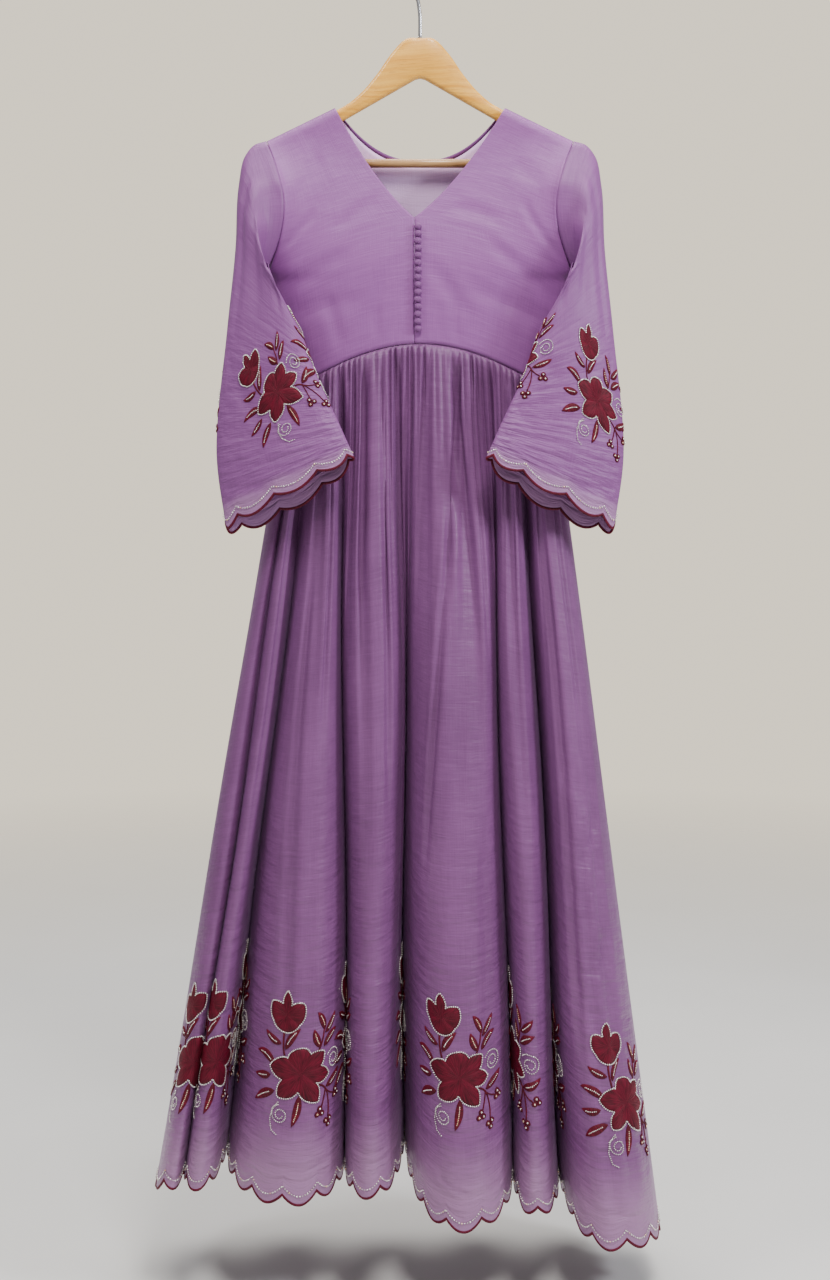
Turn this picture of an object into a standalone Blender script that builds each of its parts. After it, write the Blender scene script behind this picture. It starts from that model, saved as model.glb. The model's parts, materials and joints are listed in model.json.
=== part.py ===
"""An anarkali gown on a wooden hanger.

Frame: metres, +Z up. The gown faces -Y, its wearer's right is at -X, and the origin is the
inner top of the hanger's hook, where a rail carries it.
"""

import math

import bmesh
import bpy
import numpy as np

# --- Driving dimensions -----------------------------------------------------------------

CLOTH = 0.0014  # wall of the outer cloth
LINING = 0.0010  # wall of the lining and of the neck binding
GAP = 0.0003  # clear distance kept at a seam
SEAM_GAP = 0.0004  # the same along curved seams
ARMHOLE_GAP = 0.0006
WAIST_GAP = 0.0010  # between bodice and skirt, whose facets differ

HOOK_WIRE = 0.00225  # radius of the wire
HOOK_BEND = 0.0195  # inner radius of the hook
HANGER_DEPTH = 0.0130
HANGER_EDGE = 0.004  # rounding of the wood's edges
BAR_RADIUS = 0.0055
BAR_Z = -0.244
BAR_REACH = 0.186  # half length of the bar
BORE_CLEARANCE = 0.0004

NECK_X = 0.104  # neck point, on the shoulder seam
TIP_X = 0.187  # shoulder tip, at the top of the armhole
ARM_TOP = -0.130  # the arm's upper edge, carried to the middle of the hanger
ARM_SLOPE = 0.49
SEAM_LIFT = 0.0045  # shoulder seam above the wood
FRONT_NECK_Z = -0.3131  # the point of the V
FRONT_NECK_BOW = 0.026  # how far the V's sides sag
BACK_NECK_Z = -0.2391
OPENING_X = -0.0070  # edge of the buttoned front opening
UNDERARM_X, UNDERARM_Z = 0.187, -0.385
ARMHOLE_SCOOP = 0.024
WAIST_X = 0.162
WAIST_FRONT_Z = -0.4655  # top of the empire seam's arch
WAIST_ARCH = 0.060
WAIST_PERIOD = 0.33
BACK_WAIST_ARCH = 0.022

SHOULDER_DEPTH = 0.0140  # the cloth's distance from the middle, just below the shoulder seam
SHOULDER_ROUND = 0.012  # drop over which it gets there
CHEST_LOFT = 0.0255
ARMHOLE_LOFT = 0.0235
BACK_SHARE = 0.85  # the back stands off less than the front

BUTTONS = 15
BUTTON_X = -0.0025
BUTTON_TOP_Z, BUTTON_PITCH = -0.3245, 0.00883
BUTTON_RADIUS = 0.0042
BUTTON_FLATTEN = 0.85

LINING_INSET = 0.0029  # the lining's outer face behind the back's, with room for its facets
LINING_TUCK = 0.0045  # how much narrower the lining is at each side
BINDING_REACH = 0.95  # share of the neck's half width
# Shares of the back panel's second row: where the binding ends and the lining begins.
BINDING_END, LINING_START = 0.38, 0.44
# The back neckline's columns, as shares of NECK_X: close together beside the neck points.
NECK_COLUMNS = (0.98, 0.94, 0.84, 0.60, 0.30, 0.0)
NECK_POINT_STEP = 8  # row of a front panel where the V ends
ARMHOLE_STEPS = 10  # rows of a panel beside the armhole, and half the sleeve's columns

# The sleeve's outer and inner edges, from the armhole to the cuff (x is mirrored).
SLEEVE_EDGES = (
    # share, outer (x, y, z), inner (x, y, z)
    (0.00, (0.187, 0.000, -0.2171), (0.187, 0.000, -0.385)),
    (0.05, (0.202, -0.001, -0.2225), (0.195, -0.014, -0.389)),
    (0.10, (0.213, -0.005, -0.238), (0.195, -0.038, -0.391)),
    (0.18, (0.219, -0.012, -0.272), (0.179, -0.062, -0.396)),
    (0.35, (0.222, -0.022, -0.350), (0.147, -0.068, -0.440)),
    (0.55, (0.231, -0.036, -0.450), (0.126, -0.076, -0.495)),
    (0.80, (0.243, -0.048, -0.590), (0.095, -0.086, -0.562)),
    (1.00, (0.231, -0.055, -0.688), (0.077, -0.092, -0.602)),
)
SLEEVE_SHARES = (0.0, 0.05, 0.10, 0.18, 0.27, 0.38, 0.52, 0.68, 0.84, 1.0)
SLEEVE_HALF_DEPTH = ((0.0, 0.036), (0.10, 0.030), (0.18, 0.024), (0.35, 0.023), (1.0, 0.015))
SLEEVE_HEAD_REACH = 0.35  # share over which the sleeve leaves the armhole's shape
CUFF_BACK_DROP = 0.022

# The folds of the skirt, from the wearer's right to the left: where each ridge and each
# recess starts at the waist, and where it stands at the hem.
FRONT_FOLDS = (
    # kind, waist x, hem x, hem y, hem z
    ("side", -0.162, -0.321, 0.000, -1.489),
    ("ridge", -0.150, -0.292, -0.090, -1.464),
    ("recess", -0.143, -0.280, -0.050, -1.460),
    ("ridge", -0.135, -0.262, -0.100, -1.461),
    ("recess", -0.126, -0.238, 0.010, -1.448),
    ("ridge", -0.108, -0.150, -0.125, -1.470),
    ("recess", -0.094, -0.089, -0.020, -1.458),
    ("ridge", -0.060, -0.057, -0.115, -1.466),
    ("recess", -0.018, -0.020, 0.025, -1.443),
    ("ridge", 0.024, 0.045, -0.130, -1.499),
    ("recess", 0.083, 0.112, -0.020, -1.468),
    ("ridge", 0.103, 0.137, -0.110, -1.489),
    ("recess", 0.122, 0.171, 0.010, -1.480),
    ("ridge", 0.142, 0.221, -0.130, -1.520),
    ("side", 0.162, 0.290, -0.010, -1.534),
)
BACK_FOLDS = (
    # kind, waist x, hem x, hem y, hem z
    ("side", -0.162, -0.321, 0.000, -1.489),
    ("ridge", -0.140, -0.270, 0.120, -1.478),
    ("recess", -0.115, -0.215, 0.055, -1.470),
    ("ridge", -0.085, -0.155, 0.145, -1.480),
    ("recess", -0.055, -0.100, 0.050, -1.470),
    ("ridge", -0.020, -0.040, 0.140, -1.482),
    ("recess", 0.010, 0.015, 0.060, -1.474),
    ("ridge", 0.045, 0.070, 0.150, -1.490),
    ("recess", 0.075, 0.125, 0.050, -1.482),
    ("ridge", 0.110, 0.185, 0.140, -1.505),
    ("recess", 0.135, 0.230, 0.060, -1.505),
    ("ridge", 0.150, 0.265, 0.100, -1.520),
    ("side", 0.162, 0.290, -0.010, -1.534),
)
SKIRT_LEVELS = (0.0, 0.02, 0.06, 0.13, 0.24, 0.38, 0.56, 0.77, 1.0)
FOLD_COLUMNS = 5  # columns from a ridge to the next recess
FOLD_GROWTH = 0.85
FOLD_TIGHT_WAIST, FOLD_TIGHT_HEM = 0.30, 0.96
FOLD_SQUARENESS = 0.75  # below 1, a ridge is broad and flat between steep walls
GATHER_DEPTH = 0.0035
GATHER_END = 0.30  # share of the skirt's length where the small gathers have gone


# --- Helpers ----------------------------------------------------------------------------


def smooth_step(t):
    t = np.clip(t, 0.0, 1.0)
    return t * t * (3.0 - 2.0 * t)


def spline(points, count):
    """A Catmull-Rom curve through the points, as `count` points per span and the last."""
    p = np.array(points, float)
    p = np.vstack([2 * p[0] - p[1], p, 2 * p[-1] - p[-2]])
    found = []
    for a, b, c, d in zip(p, p[1:], p[2:], p[3:]):
        for t in np.arange(count) / count:
            bend = 2 * a - 5 * b + 4 * c - d
            twist = 3 * b - a - 3 * c + d
            found.append(b + 0.5 * ((c - a) * t + bend * t**2 + twist * t**3))
    return np.array(found + [p[-2]])


def new_material(name, colour, roughness, metallic=0.0):
    made = bpy.data.materials.new(name)
    made.use_nodes = True
    shader = made.node_tree.nodes["Principled BSDF"]
    shader.inputs["Base Color"].default_value = (*colour, 1.0)
    shader.inputs["Roughness"].default_value = roughness
    shader.inputs["Metallic"].default_value = metallic
    made.diffuse_color = (*colour, 1.0)
    return made


def new_object(name, mesh, material):
    made = bpy.data.objects.new(name, mesh)
    mesh.materials.append(material)
    bpy.context.scene.collection.objects.link(made)
    return made


def grid_normals(grid, wrap):
    """The unit normal at each point of a grid of rows and columns."""
    if wrap:
        across = np.roll(grid, -1, axis=1) - np.roll(grid, 1, axis=1)
    else:
        across = np.gradient(grid, axis=1)
    normal = np.cross(across, np.gradient(grid, axis=0))
    return normal / np.linalg.norm(normal, axis=2, keepdims=True)


def pushed_in(grid, inward, distance, wrap=False):
    """The grid moved along its normals to its inner side, where `inward` points."""
    normal = grid_normals(grid, wrap)
    side = np.sign(np.sum(normal * inward, axis=2, keepdims=True).mean())
    return grid + normal * side * distance


def square_armhole(outer, inner, column, forward):
    """Turns a panel's rim beside the armhole to run straight forwards or back."""
    beside = slice(1, ARMHOLE_STEPS)
    inner[beside, column] = outer[beside, column] + np.array([0.0, forward * CLOTH, 0.0])
    reach = np.minimum(np.abs(inner[:, column, 0]), np.abs(outer[:, column, 0]))
    inner[:, column, 0] = np.sign(outer[:, column, 0]) * reach


def stay_in_front(outer, inner):
    inner[..., 1] = np.minimum(inner[..., 1], -GAP / 2)
    square_armhole(outer, inner, -1, 1)


def stay_behind(outer, inner):
    inner[..., 1] = np.maximum(inner[..., 1], GAP / 2)
    for column in (0, -1):
        square_armhole(outer, inner, column, -1)


def stay_outside_armhole(outer, inner):
    """Keeps the rim of a sleeve's first ring from reaching back into the bodice."""
    reach = np.maximum(np.abs(inner[0, :, 0]), np.abs(outer[0, :, 0]))
    inner[0, :, 0] = np.sign(outer[0, :, 0]) * reach


def square_sides(outer, inner):
    """Turns the rims of the first and last columns to face straight forwards or back."""
    for column in (0, -1):
        inner[:, column, 1] = outer[:, column, 1]


def cloth_shell(name, grid, inward, thickness, material, wrap=False, trim=None):
    """A wall of cloth: the grid is its outer face, and its rims are closed."""
    rows, columns = grid.shape[:2]
    inner = pushed_in(grid, inward, thickness, wrap)
    if trim:
        trim(grid, inner)
    points = np.concatenate([grid.reshape(-1, 3), inner.reshape(-1, 3)])
    step = rows * columns

    def at(row, column, layer):
        return layer * step + row * columns + column % columns

    faces = []
    cells = columns if wrap else columns - 1
    for row in range(rows - 1):
        for column in range(cells):
            ring = ((row, column), (row, column + 1), (row + 1, column + 1), (row + 1, column))
            faces.append([at(r, c, 0) for r, c in ring])
            faces.append([at(r, c, 1) for r, c in reversed(ring)])
    for column in range(cells):
        for row, one, other in ((0, column + 1, column), (rows - 1, column, column + 1)):
            faces.append([at(row, one, 0), at(row, other, 0), at(row, other, 1), at(row, one, 1)])
    if not wrap:
        for row in range(rows - 1):
            for column, one, other in ((0, row, row + 1), (columns - 1, row + 1, row)):
                faces.append(
                    [at(one, column, 0), at(other, column, 0), at(other, column, 1), at(one, column, 1)]
                )
    mesh = bpy.data.meshes.new(name)
    mesh.from_pydata(points.tolist(), [], faces)
    solid = bmesh.new()
    solid.from_mesh(mesh)
    if solid.calc_volume(signed=True) < 0:
        bmesh.ops.reverse_faces(solid, faces=solid.faces)
    solid.to_mesh(mesh)
    solid.free()
    mesh.shade_smooth()
    return new_object(name, mesh, material)


def coons_patch(top, bottom, left, right, across, down):
    """Fills four boundary curves, each a list of (x, z), with a grid of points."""
    u = np.asarray(across)[None, :, None]
    r = np.asarray(down)[:, None, None]
    top, bottom = np.array(top)[None], np.array(bottom)[None]
    left, right = np.array(left)[:, None], np.array(right)[:, None]
    ruled = (1 - r) * top + r * bottom + (1 - u) * left + u * right
    corners = (1 - u) * ((1 - r) * top[:, :1] + r * bottom[:, :1])
    return ruled - corners - u * ((1 - r) * top[:, -1:] + r * bottom[:, -1:])


# --- The hanger -------------------------------------------------------------------------


def hanger_outline():
    """Half of the wood's outline at +X, from the top of its neck round to the apex below."""
    upper = spline(
        (
            (0.0, -0.0915),
            (0.0175, -0.0928),
            (0.036, -0.112),
            (0.053, -0.1365),
            (0.075, -0.1615),
            (NECK_X, ARM_TOP - ARM_SLOPE * NECK_X),
            (0.194, ARM_TOP - ARM_SLOPE * 0.194),
        ),
        4,
    )
    tip = spline(((0.194, -0.2251), (0.2035, -0.234), (0.2045, -0.246), (0.197, -0.2545)), 3)
    lug = ((0.176, -0.2545), (0.1715, -0.251), (0.170, -0.236))
    lower = ((0.006, -0.1420), (0.0, -0.1405))
    return [*map(tuple, upper[:-1]), *map(tuple, tip), *lug, *lower]


def add_cutter(name, radius, start, end):
    """A cylinder from start to end, for a Boolean to cut with."""
    start, end = np.array(start), np.array(end)
    mesh = bpy.data.meshes.new(name)
    shape = bmesh.new()
    length = float(np.linalg.norm(end - start))
    bmesh.ops.create_cone(
        shape, cap_ends=True, segments=16, radius1=radius, radius2=radius, depth=length
    )
    shape.to_mesh(mesh)
    shape.free()
    cutter = bpy.data.objects.new(name, mesh)
    cutter.location = (start + end) / 2
    if abs(end[0] - start[0]) > abs(end[2] - start[2]):
        cutter.rotation_euler = (0.0, math.pi / 2, 0.0)
    cutter.hide_render = True
    cutter.display_type = "WIRE"
    bpy.context.scene.collection.objects.link(cutter)
    return cutter


def build_hanger(wood, steel):
    half = hanger_outline()
    outline = half + [(-x, z) for x, z in reversed(half) if x > 0]
    mesh = bpy.data.meshes.new("hanger_body")
    shape = bmesh.new()
    corners = [shape.verts.new((x, -HANGER_DEPTH / 2, z)) for x, z in outline]
    face = shape.faces.new(corners)
    pushed = bmesh.ops.extrude_face_region(shape, geom=[face])
    moved = [v for v in pushed["geom"] if isinstance(v, bmesh.types.BMVert)]
    bmesh.ops.translate(shape, verts=moved, vec=(0, HANGER_DEPTH, 0))
    bmesh.ops.recalc_face_normals(shape, faces=shape.faces)
    shape.to_mesh(mesh)
    shape.free()
    body = new_object("hanger_body", mesh, wood)
    rounding = body.modifiers.new("round_edges", "BEVEL")
    rounding.width = HANGER_EDGE
    rounding.segments = 2
    rounding.limit_method = "ANGLE"
    rounding.angle_limit = math.radians(60)
    bores = [add_cutter("hook_bore", HOOK_WIRE + GAP, (0, 0, -0.112), (0, 0, -0.080))]
    for side in (-1, 1):
        ends = (side * 0.160, 0, BAR_Z), (side * (BAR_REACH + GAP), 0, BAR_Z)
        bores.append(add_cutter(f"bar_bore_{side}", BAR_RADIUS + BORE_CLEARANCE, *ends))
    for bore in bores:
        cut = body.modifiers.new(bore.name, "BOOLEAN")
        cut.operation = "DIFFERENCE"
        cut.object = bore

    bar = bpy.data.meshes.new("hanger_bar")
    shape = bmesh.new()
    bmesh.ops.create_cone(
        shape, cap_ends=True, segments=16, radius1=BAR_RADIUS, radius2=BAR_RADIUS, depth=2 * BAR_REACH
    )
    shape.to_mesh(bar)
    shape.free()
    bar.shade_smooth()
    bar.set_sharp_from_angle(angle=math.radians(40))
    placed = new_object("hanger_bar", bar, wood)
    placed.location = (0, 0, BAR_Z)
    placed.rotation_euler = (0, math.pi / 2, 0)

    centre = HOOK_BEND + HOOK_WIRE
    bend = [math.radians(a) for a in range(255, -16, -15)]
    stem = [(0.0, -0.108), (0.0, -0.085), (0.0, -0.066), (-0.0012, -0.054), (-0.0026, -0.0455)]
    loop = [(centre * math.cos(a), -HOOK_BEND + centre * math.sin(a)) for a in bend]
    path = spline(stem + loop, 2)
    curve = bpy.data.curves.new("hanger_hook", "CURVE")
    curve.dimensions = "3D"
    curve.bevel_depth = HOOK_WIRE
    curve.bevel_resolution = 2
    curve.use_fill_caps = True
    line = curve.splines.new("POLY")
    line.points.add(len(path) - 1)
    for point, (x, z) in zip(line.points, path):
        point.co = (x, 0.0, z, 1.0)
    new_object("hanger_hook", curve, steel)


# --- The bodice -------------------------------------------------------------------------


def shoulder_z(x):
    """Height of the shoulder seam, carried on to the middle."""
    return ARM_TOP + SEAM_LIFT - ARM_SLOPE * np.abs(x)


def side_x(z):
    """Half width of the bodice: the armhole's curve, and the side seam below it."""
    tip_z = shoulder_z(TIP_X)
    down = np.clip((tip_z - z) / (tip_z - UNDERARM_Z), 0.0, 1.0)
    armhole = TIP_X - ARMHOLE_SCOOP * np.sin(math.pi * down)
    below = np.clip((UNDERARM_Z - z) / (UNDERARM_Z - waist_z(WAIST_X)), 0.0, 1.0)
    return armhole - (UNDERARM_X - WAIST_X) * below


def waist_z(x):
    """Height of the front empire seam."""
    return WAIST_FRONT_Z - WAIST_ARCH * (1.0 - np.cos(math.pi * np.asarray(x) / WAIST_PERIOD))


def back_waist_z(x):
    return waist_z(WAIST_X) + BACK_WAIST_ARCH * (1.0 - (np.asarray(x) / WAIST_X) ** 2)


def bodice_depth(x, z):
    """How far the bodice's outer face stands from the middle plane."""
    drop = np.clip((shoulder_z(x) - z) / SHOULDER_ROUND, 0.0, 1.0)
    over_shoulder = np.sqrt(1.0 - (1.0 - drop) ** 2)
    middle = SHOULDER_DEPTH + CHEST_LOFT * smooth_step((-0.19 - z) / 0.20)
    closing = np.clip((-0.30 - z) / (-0.30 - UNDERARM_Z), 0.0, 1.0)
    edge = SHOULDER_DEPTH + ARMHOLE_LOFT * smooth_step((-0.21 - z) / 0.07)
    edge = edge * np.sqrt(1.0 - closing**2)
    across = np.clip(np.abs(x) / side_x(z), 0.0, 1.0)
    return over_shoulder * (edge + (middle - edge) * np.sqrt(1.0 - across**3))


UNDERARM_SHARE = float((shoulder_z(TIP_X) - UNDERARM_Z) / (shoulder_z(TIP_X) - waist_z(WAIST_X)))


def side_shares():
    """Rows of a panel: 0 at the shoulder, the underarm at UNDERARM_SHARE, and 1 at the waist."""
    turn = np.linspace(0.0, math.pi, ARMHOLE_STEPS + 1)
    beside_armhole = UNDERARM_SHARE * (1.0 - np.cos(turn)) / 2.0
    return np.append(beside_armhole, np.linspace(UNDERARM_SHARE, 1.0, 5)[1:])


def side_edge(side, shares):
    """(x, z) down the armhole and then down the side seam, for shares 0 to 1."""
    z = float(shoulder_z(TIP_X)) * (1 - shares) + float(waist_z(WAIST_X)) * shares
    return np.stack([side * side_x(z), z], axis=1)


def front_edge(side, shares):
    """(x, z) down the V's side and then down the front opening, for shares 0 to 1."""
    split = side_shares()[NECK_POINT_STEP]
    start = np.array([side * NECK_X, float(shoulder_z(NECK_X))])
    point = np.array([OPENING_X + side * SEAM_GAP / 2, FRONT_NECK_Z])
    middle = (start + point) / 2 - np.array([0.0, FRONT_NECK_BOW])
    t = np.clip(shares / split, 0.0, 1.0)[:, None]
    neck = (1 - t) ** 2 * start + 2 * t * (1 - t) * middle + t**2 * point
    below = np.clip((shares - split) / (1 - split), 0.0, 1.0)[:, None]
    foot = np.array([point[0], float(waist_z(point[0]))])
    return neck + (foot - point) * below


def front_panel_grid(side):
    rows = side_shares()
    columns = np.sin(np.linspace(0, math.pi / 2, 8))
    seam_x = side * (NECK_X + (TIP_X - NECK_X) * columns)
    opening = OPENING_X + side * SEAM_GAP / 2
    waist_x = opening + (side * WAIST_X - opening) * columns
    top = np.stack([seam_x, shoulder_z(seam_x)], axis=1)
    bottom = np.stack([waist_x, waist_z(waist_x)], axis=1)
    flat = coons_patch(
        top, bottom, front_edge(side, rows), side_edge(side, rows), columns, rows
    )
    x, z = flat[..., 0], flat[..., 1]
    return np.stack([x, -bodice_depth(x, z) - GAP / 2, z], axis=2)


def back_neck_z(x):
    share = np.clip(np.abs(x) / NECK_X, 0.0, 1.0)
    return BACK_NECK_Z + (shoulder_z(NECK_X) - BACK_NECK_Z) * share**2.3


def back_panel_grid():
    rows = side_shares()
    neck = NECK_X / TIP_X
    outer = neck + (1 - neck) * np.sin(np.linspace(0, math.pi / 2, 4))
    inner = neck * np.array(NECK_COLUMNS)
    shares = np.concatenate([-outer[::-1], -inner, inner[::-1][1:], outer])
    seam_x = TIP_X * shares
    on_seam = np.abs(seam_x) >= NECK_X - 1e-9
    top_z = np.where(on_seam, shoulder_z(seam_x), back_neck_z(seam_x))
    bottom = np.stack([WAIST_X * shares, back_waist_z(WAIST_X * shares)], axis=1)
    flat = coons_patch(
        np.stack([seam_x, top_z], axis=1),
        bottom,
        side_edge(-1, rows),
        side_edge(1, rows),
        (shares + 1) / 2,
        rows,
    )
    x, z = flat[..., 0], flat[..., 1]
    return np.stack([x, BACK_SHARE * bodice_depth(x, z) + GAP / 2, z], axis=2)


def build_bodice(cloth, lining, binding):
    forward = np.array([0.0, -1.0, 0.0])
    for side, name in ((-1, "bodice_front_right"), (1, "bodice_front_left")):
        panel = front_panel_grid(side)
        cloth_shell(name, panel, -forward, CLOTH, cloth, trim=stay_in_front)
    back = back_panel_grid()
    cloth_shell("bodice_back", back, forward, CLOTH, cloth, trim=stay_behind)

    tucked = back * np.array([1 - LINING_TUCK / TIP_X, 1.0, 1.0]) + forward * LINING_INSET
    neckline, second = tucked[0], tucked[2]
    in_neck = (np.abs(back[0, :, 0]) < NECK_X - GAP)[:, None]
    first = np.where(in_neck, neckline + LINING_START * (second - neckline), second)
    lining_rows = np.concatenate([first[None], tucked[3:-1]])[:, 2:-2]
    cloth_shell("bodice_back_lining", lining_rows, forward, LINING, lining, trim=stay_behind)
    between_necks = np.abs(back[0, :, 0]) < BINDING_REACH * NECK_X
    strip = np.array([neckline, neckline + BINDING_END * (second - neckline)])
    cloth_shell("back_neck_binding", strip[:, between_necks], forward, LINING, binding)


def build_buttons(material):
    shared = bpy.data.meshes.new("button")
    shape = bmesh.new()
    bmesh.ops.create_uvsphere(shape, u_segments=10, v_segments=6, radius=BUTTON_RADIUS)
    bmesh.ops.scale(shape, vec=(1.0, BUTTON_FLATTEN, 1.0), verts=shape.verts)
    shape.to_mesh(shared)
    shape.free()
    shared.shade_smooth()
    shared.materials.append(material)
    stand_off = BUTTON_FLATTEN * BUTTON_RADIUS + 2 * GAP
    for number in range(BUTTONS):
        z = BUTTON_TOP_Z - number * BUTTON_PITCH
        button = bpy.data.objects.new(f"button_{number + 1:02d}", shared)
        button.location = (BUTTON_X, -float(bodice_depth(BUTTON_X, z)) - stand_off, z)
        bpy.context.scene.collection.objects.link(button)


# --- The sleeves ------------------------------------------------------------------------


def sleeve_ring(share, angles):
    """A ring of the +X sleeve: angle 0 is its outer edge, and the front comes before pi."""
    keys = [row[0] for row in SLEEVE_EDGES]
    outer = np.array([np.interp(share, keys, [row[1][i] for row in SLEEVE_EDGES]) for i in range(3)])
    inner = np.array([np.interp(share, keys, [row[2][i] for row in SLEEVE_EDGES]) for i in range(3)])
    middle, reach = (outer + inner) / 2, (outer - inner) / 2
    along = reach / np.linalg.norm(reach)
    depth_dir = np.array([0.0, -1.0, 0.0])
    depth_dir = depth_dir - along * np.dot(depth_dir, along)
    depth_dir = depth_dir / np.linalg.norm(depth_dir)
    depth = np.interp(share, *zip(*SLEEVE_HALF_DEPTH))
    sine = np.sin(angles)[:, None]
    ring = middle + reach * np.cos(angles)[:, None] + depth * depth_dir * sine
    ring[:, 2] -= CUFF_BACK_DROP * share**2 * np.maximum(0.0, -sine[:, 0])
    return ring


def armhole_ring(angles):
    """The armhole's own curve, with the same angles as sleeve_ring."""
    top, bottom = float(shoulder_z(TIP_X)), UNDERARM_Z
    z = (top + bottom) / 2 + (top - bottom) / 2 * np.cos(angles)
    x = side_x(z)
    front = np.sin(angles) >= 0
    depth = bodice_depth(x, z)
    y = np.where(front, -depth - GAP / 2, BACK_SHARE * depth + GAP / 2)
    return np.stack([x, y, z], axis=1)


def sleeve_grid(side):
    angles = np.linspace(0, 2 * math.pi, 2 * ARMHOLE_STEPS + 1)[:-1]
    start = sleeve_ring(0.0, angles)
    rings = []
    for share in SLEEVE_SHARES:
        leaving = max(0.0, 1.0 - share / SLEEVE_HEAD_REACH) ** 2
        ring = sleeve_ring(share, angles) + leaving * (armhole_ring(angles) - start)
        ring[:, 0] += ARMHOLE_GAP
        rings.append(ring)
    return np.array(rings) * np.array([side, 1.0, 1.0])


def build_sleeves(cloth):
    for side, name in ((-1, "sleeve_right"), (1, "sleeve_left")):
        grid = sleeve_grid(side)
        inward = grid.mean(axis=1, keepdims=True) - grid
        cloth_shell(name, grid, inward, CLOTH, cloth, wrap=True, trim=stay_outside_armhole)


# --- The skirt --------------------------------------------------------------------------


def fold_shares(kinds, t, tight):
    """Shares of the way across and of the way deep, between two rows of a fold table."""
    if kinds[0] == "side":
        return 1 - np.cos(math.pi * t / 2), np.sin(math.pi * t / 2)
    if kinds[1] == "side":
        return np.sin(math.pi * t / 2), 1 - np.cos(math.pi * t / 2)
    turn = tight / math.pi * np.sin(math.pi * t)
    across = t - turn if kinds[0] == "recess" else t + turn
    deep = (1 - np.cos(math.pi * t)) / 2
    if kinds[0] == "ridge":
        return across, 1 - (1 - deep) ** FOLD_SQUARENESS
    return across, deep**FOLD_SQUARENESS


def skirt_grid(folds, waist_height, waist_depth, seam_side):
    steps = np.arange(FOLD_COLUMNS) / FOLD_COLUMNS
    grid = []
    for level in SKIRT_LEVELS:
        tight = FOLD_TIGHT_WAIST + (FOLD_TIGHT_HEM - FOLD_TIGHT_WAIST) * smooth_step(level / 0.4)
        row = []
        for number, (one, other) in enumerate(zip(folds, folds[1:])):
            last = number == len(folds) - 2
            t = np.append(steps, 1.0) if last else steps
            across, deep = fold_shares((one[0], other[0]), t, tight)
            waist_x = one[1] + (other[1] - one[1]) * across
            hem_x = one[2] + (other[2] - one[2]) * across
            hem_y = one[3] + (other[3] - one[3]) * deep
            hem_z = one[4] + (other[4] - one[4]) * deep
            waist_z_here = waist_height(waist_x)
            grown = level**FOLD_GROWTH
            x = waist_x + (hem_x - waist_x) * level
            y = (1 - grown) * seam_side * waist_depth(waist_x, waist_z_here) + grown * hem_y
            z = waist_z_here + (hem_z - waist_z_here) * level
            row.append(np.stack([x, y, z], axis=1))
        row = np.concatenate(row)
        rise = smooth_step(level / 0.02) * (1 - smooth_step(level / GATHER_END))
        zigzag = np.arange(len(row)) % 2
        zigzag[0] = zigzag[-1] = 0
        row[:, 1] += seam_side * (GATHER_DEPTH * rise * zigzag + SEAM_GAP / 2)
        row[:, 2] -= WAIST_GAP * (1 - level)
        grid.append(row)
    return np.array(grid)


def build_skirt(cloth):
    front = skirt_grid(FRONT_FOLDS, waist_z, bodice_depth, -1)
    inward = np.array([0.0, 1.0, 0.0])
    cloth_shell("skirt_front", front, inward, CLOTH, cloth, trim=square_sides)

    def back_depth(x, z):
        return BACK_SHARE * bodice_depth(x, z)

    back = skirt_grid(BACK_FOLDS, back_waist_z, back_depth, 1)
    cloth_shell("skirt_back", back, -inward, CLOTH, cloth, trim=square_sides)


# --- The whole --------------------------------------------------------------------------


def main():
    for old in list(bpy.data.objects):
        bpy.data.objects.remove(old)
    bodice_cloth = new_material("bodice_cloth", (0.35, 0.20, 0.38), 0.55)
    skirt_cloth = new_material("skirt_cloth", (0.30, 0.17, 0.31), 0.55)
    lining = new_material("lining_cloth", (0.60, 0.41, 0.60), 0.60)
    binding = new_material("neck_binding_cloth", (0.26, 0.14, 0.27), 0.60)
    button_cloth = new_material("button_cloth", (0.24, 0.12, 0.25), 0.55)
    wood = new_material("varnished_wood", (0.80, 0.52, 0.22), 0.35)
    steel = new_material("polished_steel", (0.75, 0.75, 0.76), 0.20, 1.0)
    build_hanger(wood, steel)
    build_bodice(bodice_cloth, lining, binding)
    build_buttons(button_cloth)
    build_sleeves(bodice_cloth)
    build_skirt(skirt_cloth)


main()
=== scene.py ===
# %% [markdown]
# # A lilac anarkali gown on a wooden hanger
# The gown is an empire-line dress: a plain V-necked bodice, two bell sleeves and a very full
# skirt gathered into an arched seam. The imported model already holds every piece at its true
# size, so this lesson only gives each piece its looks. We begin by loading that model.

import json
import math

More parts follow.
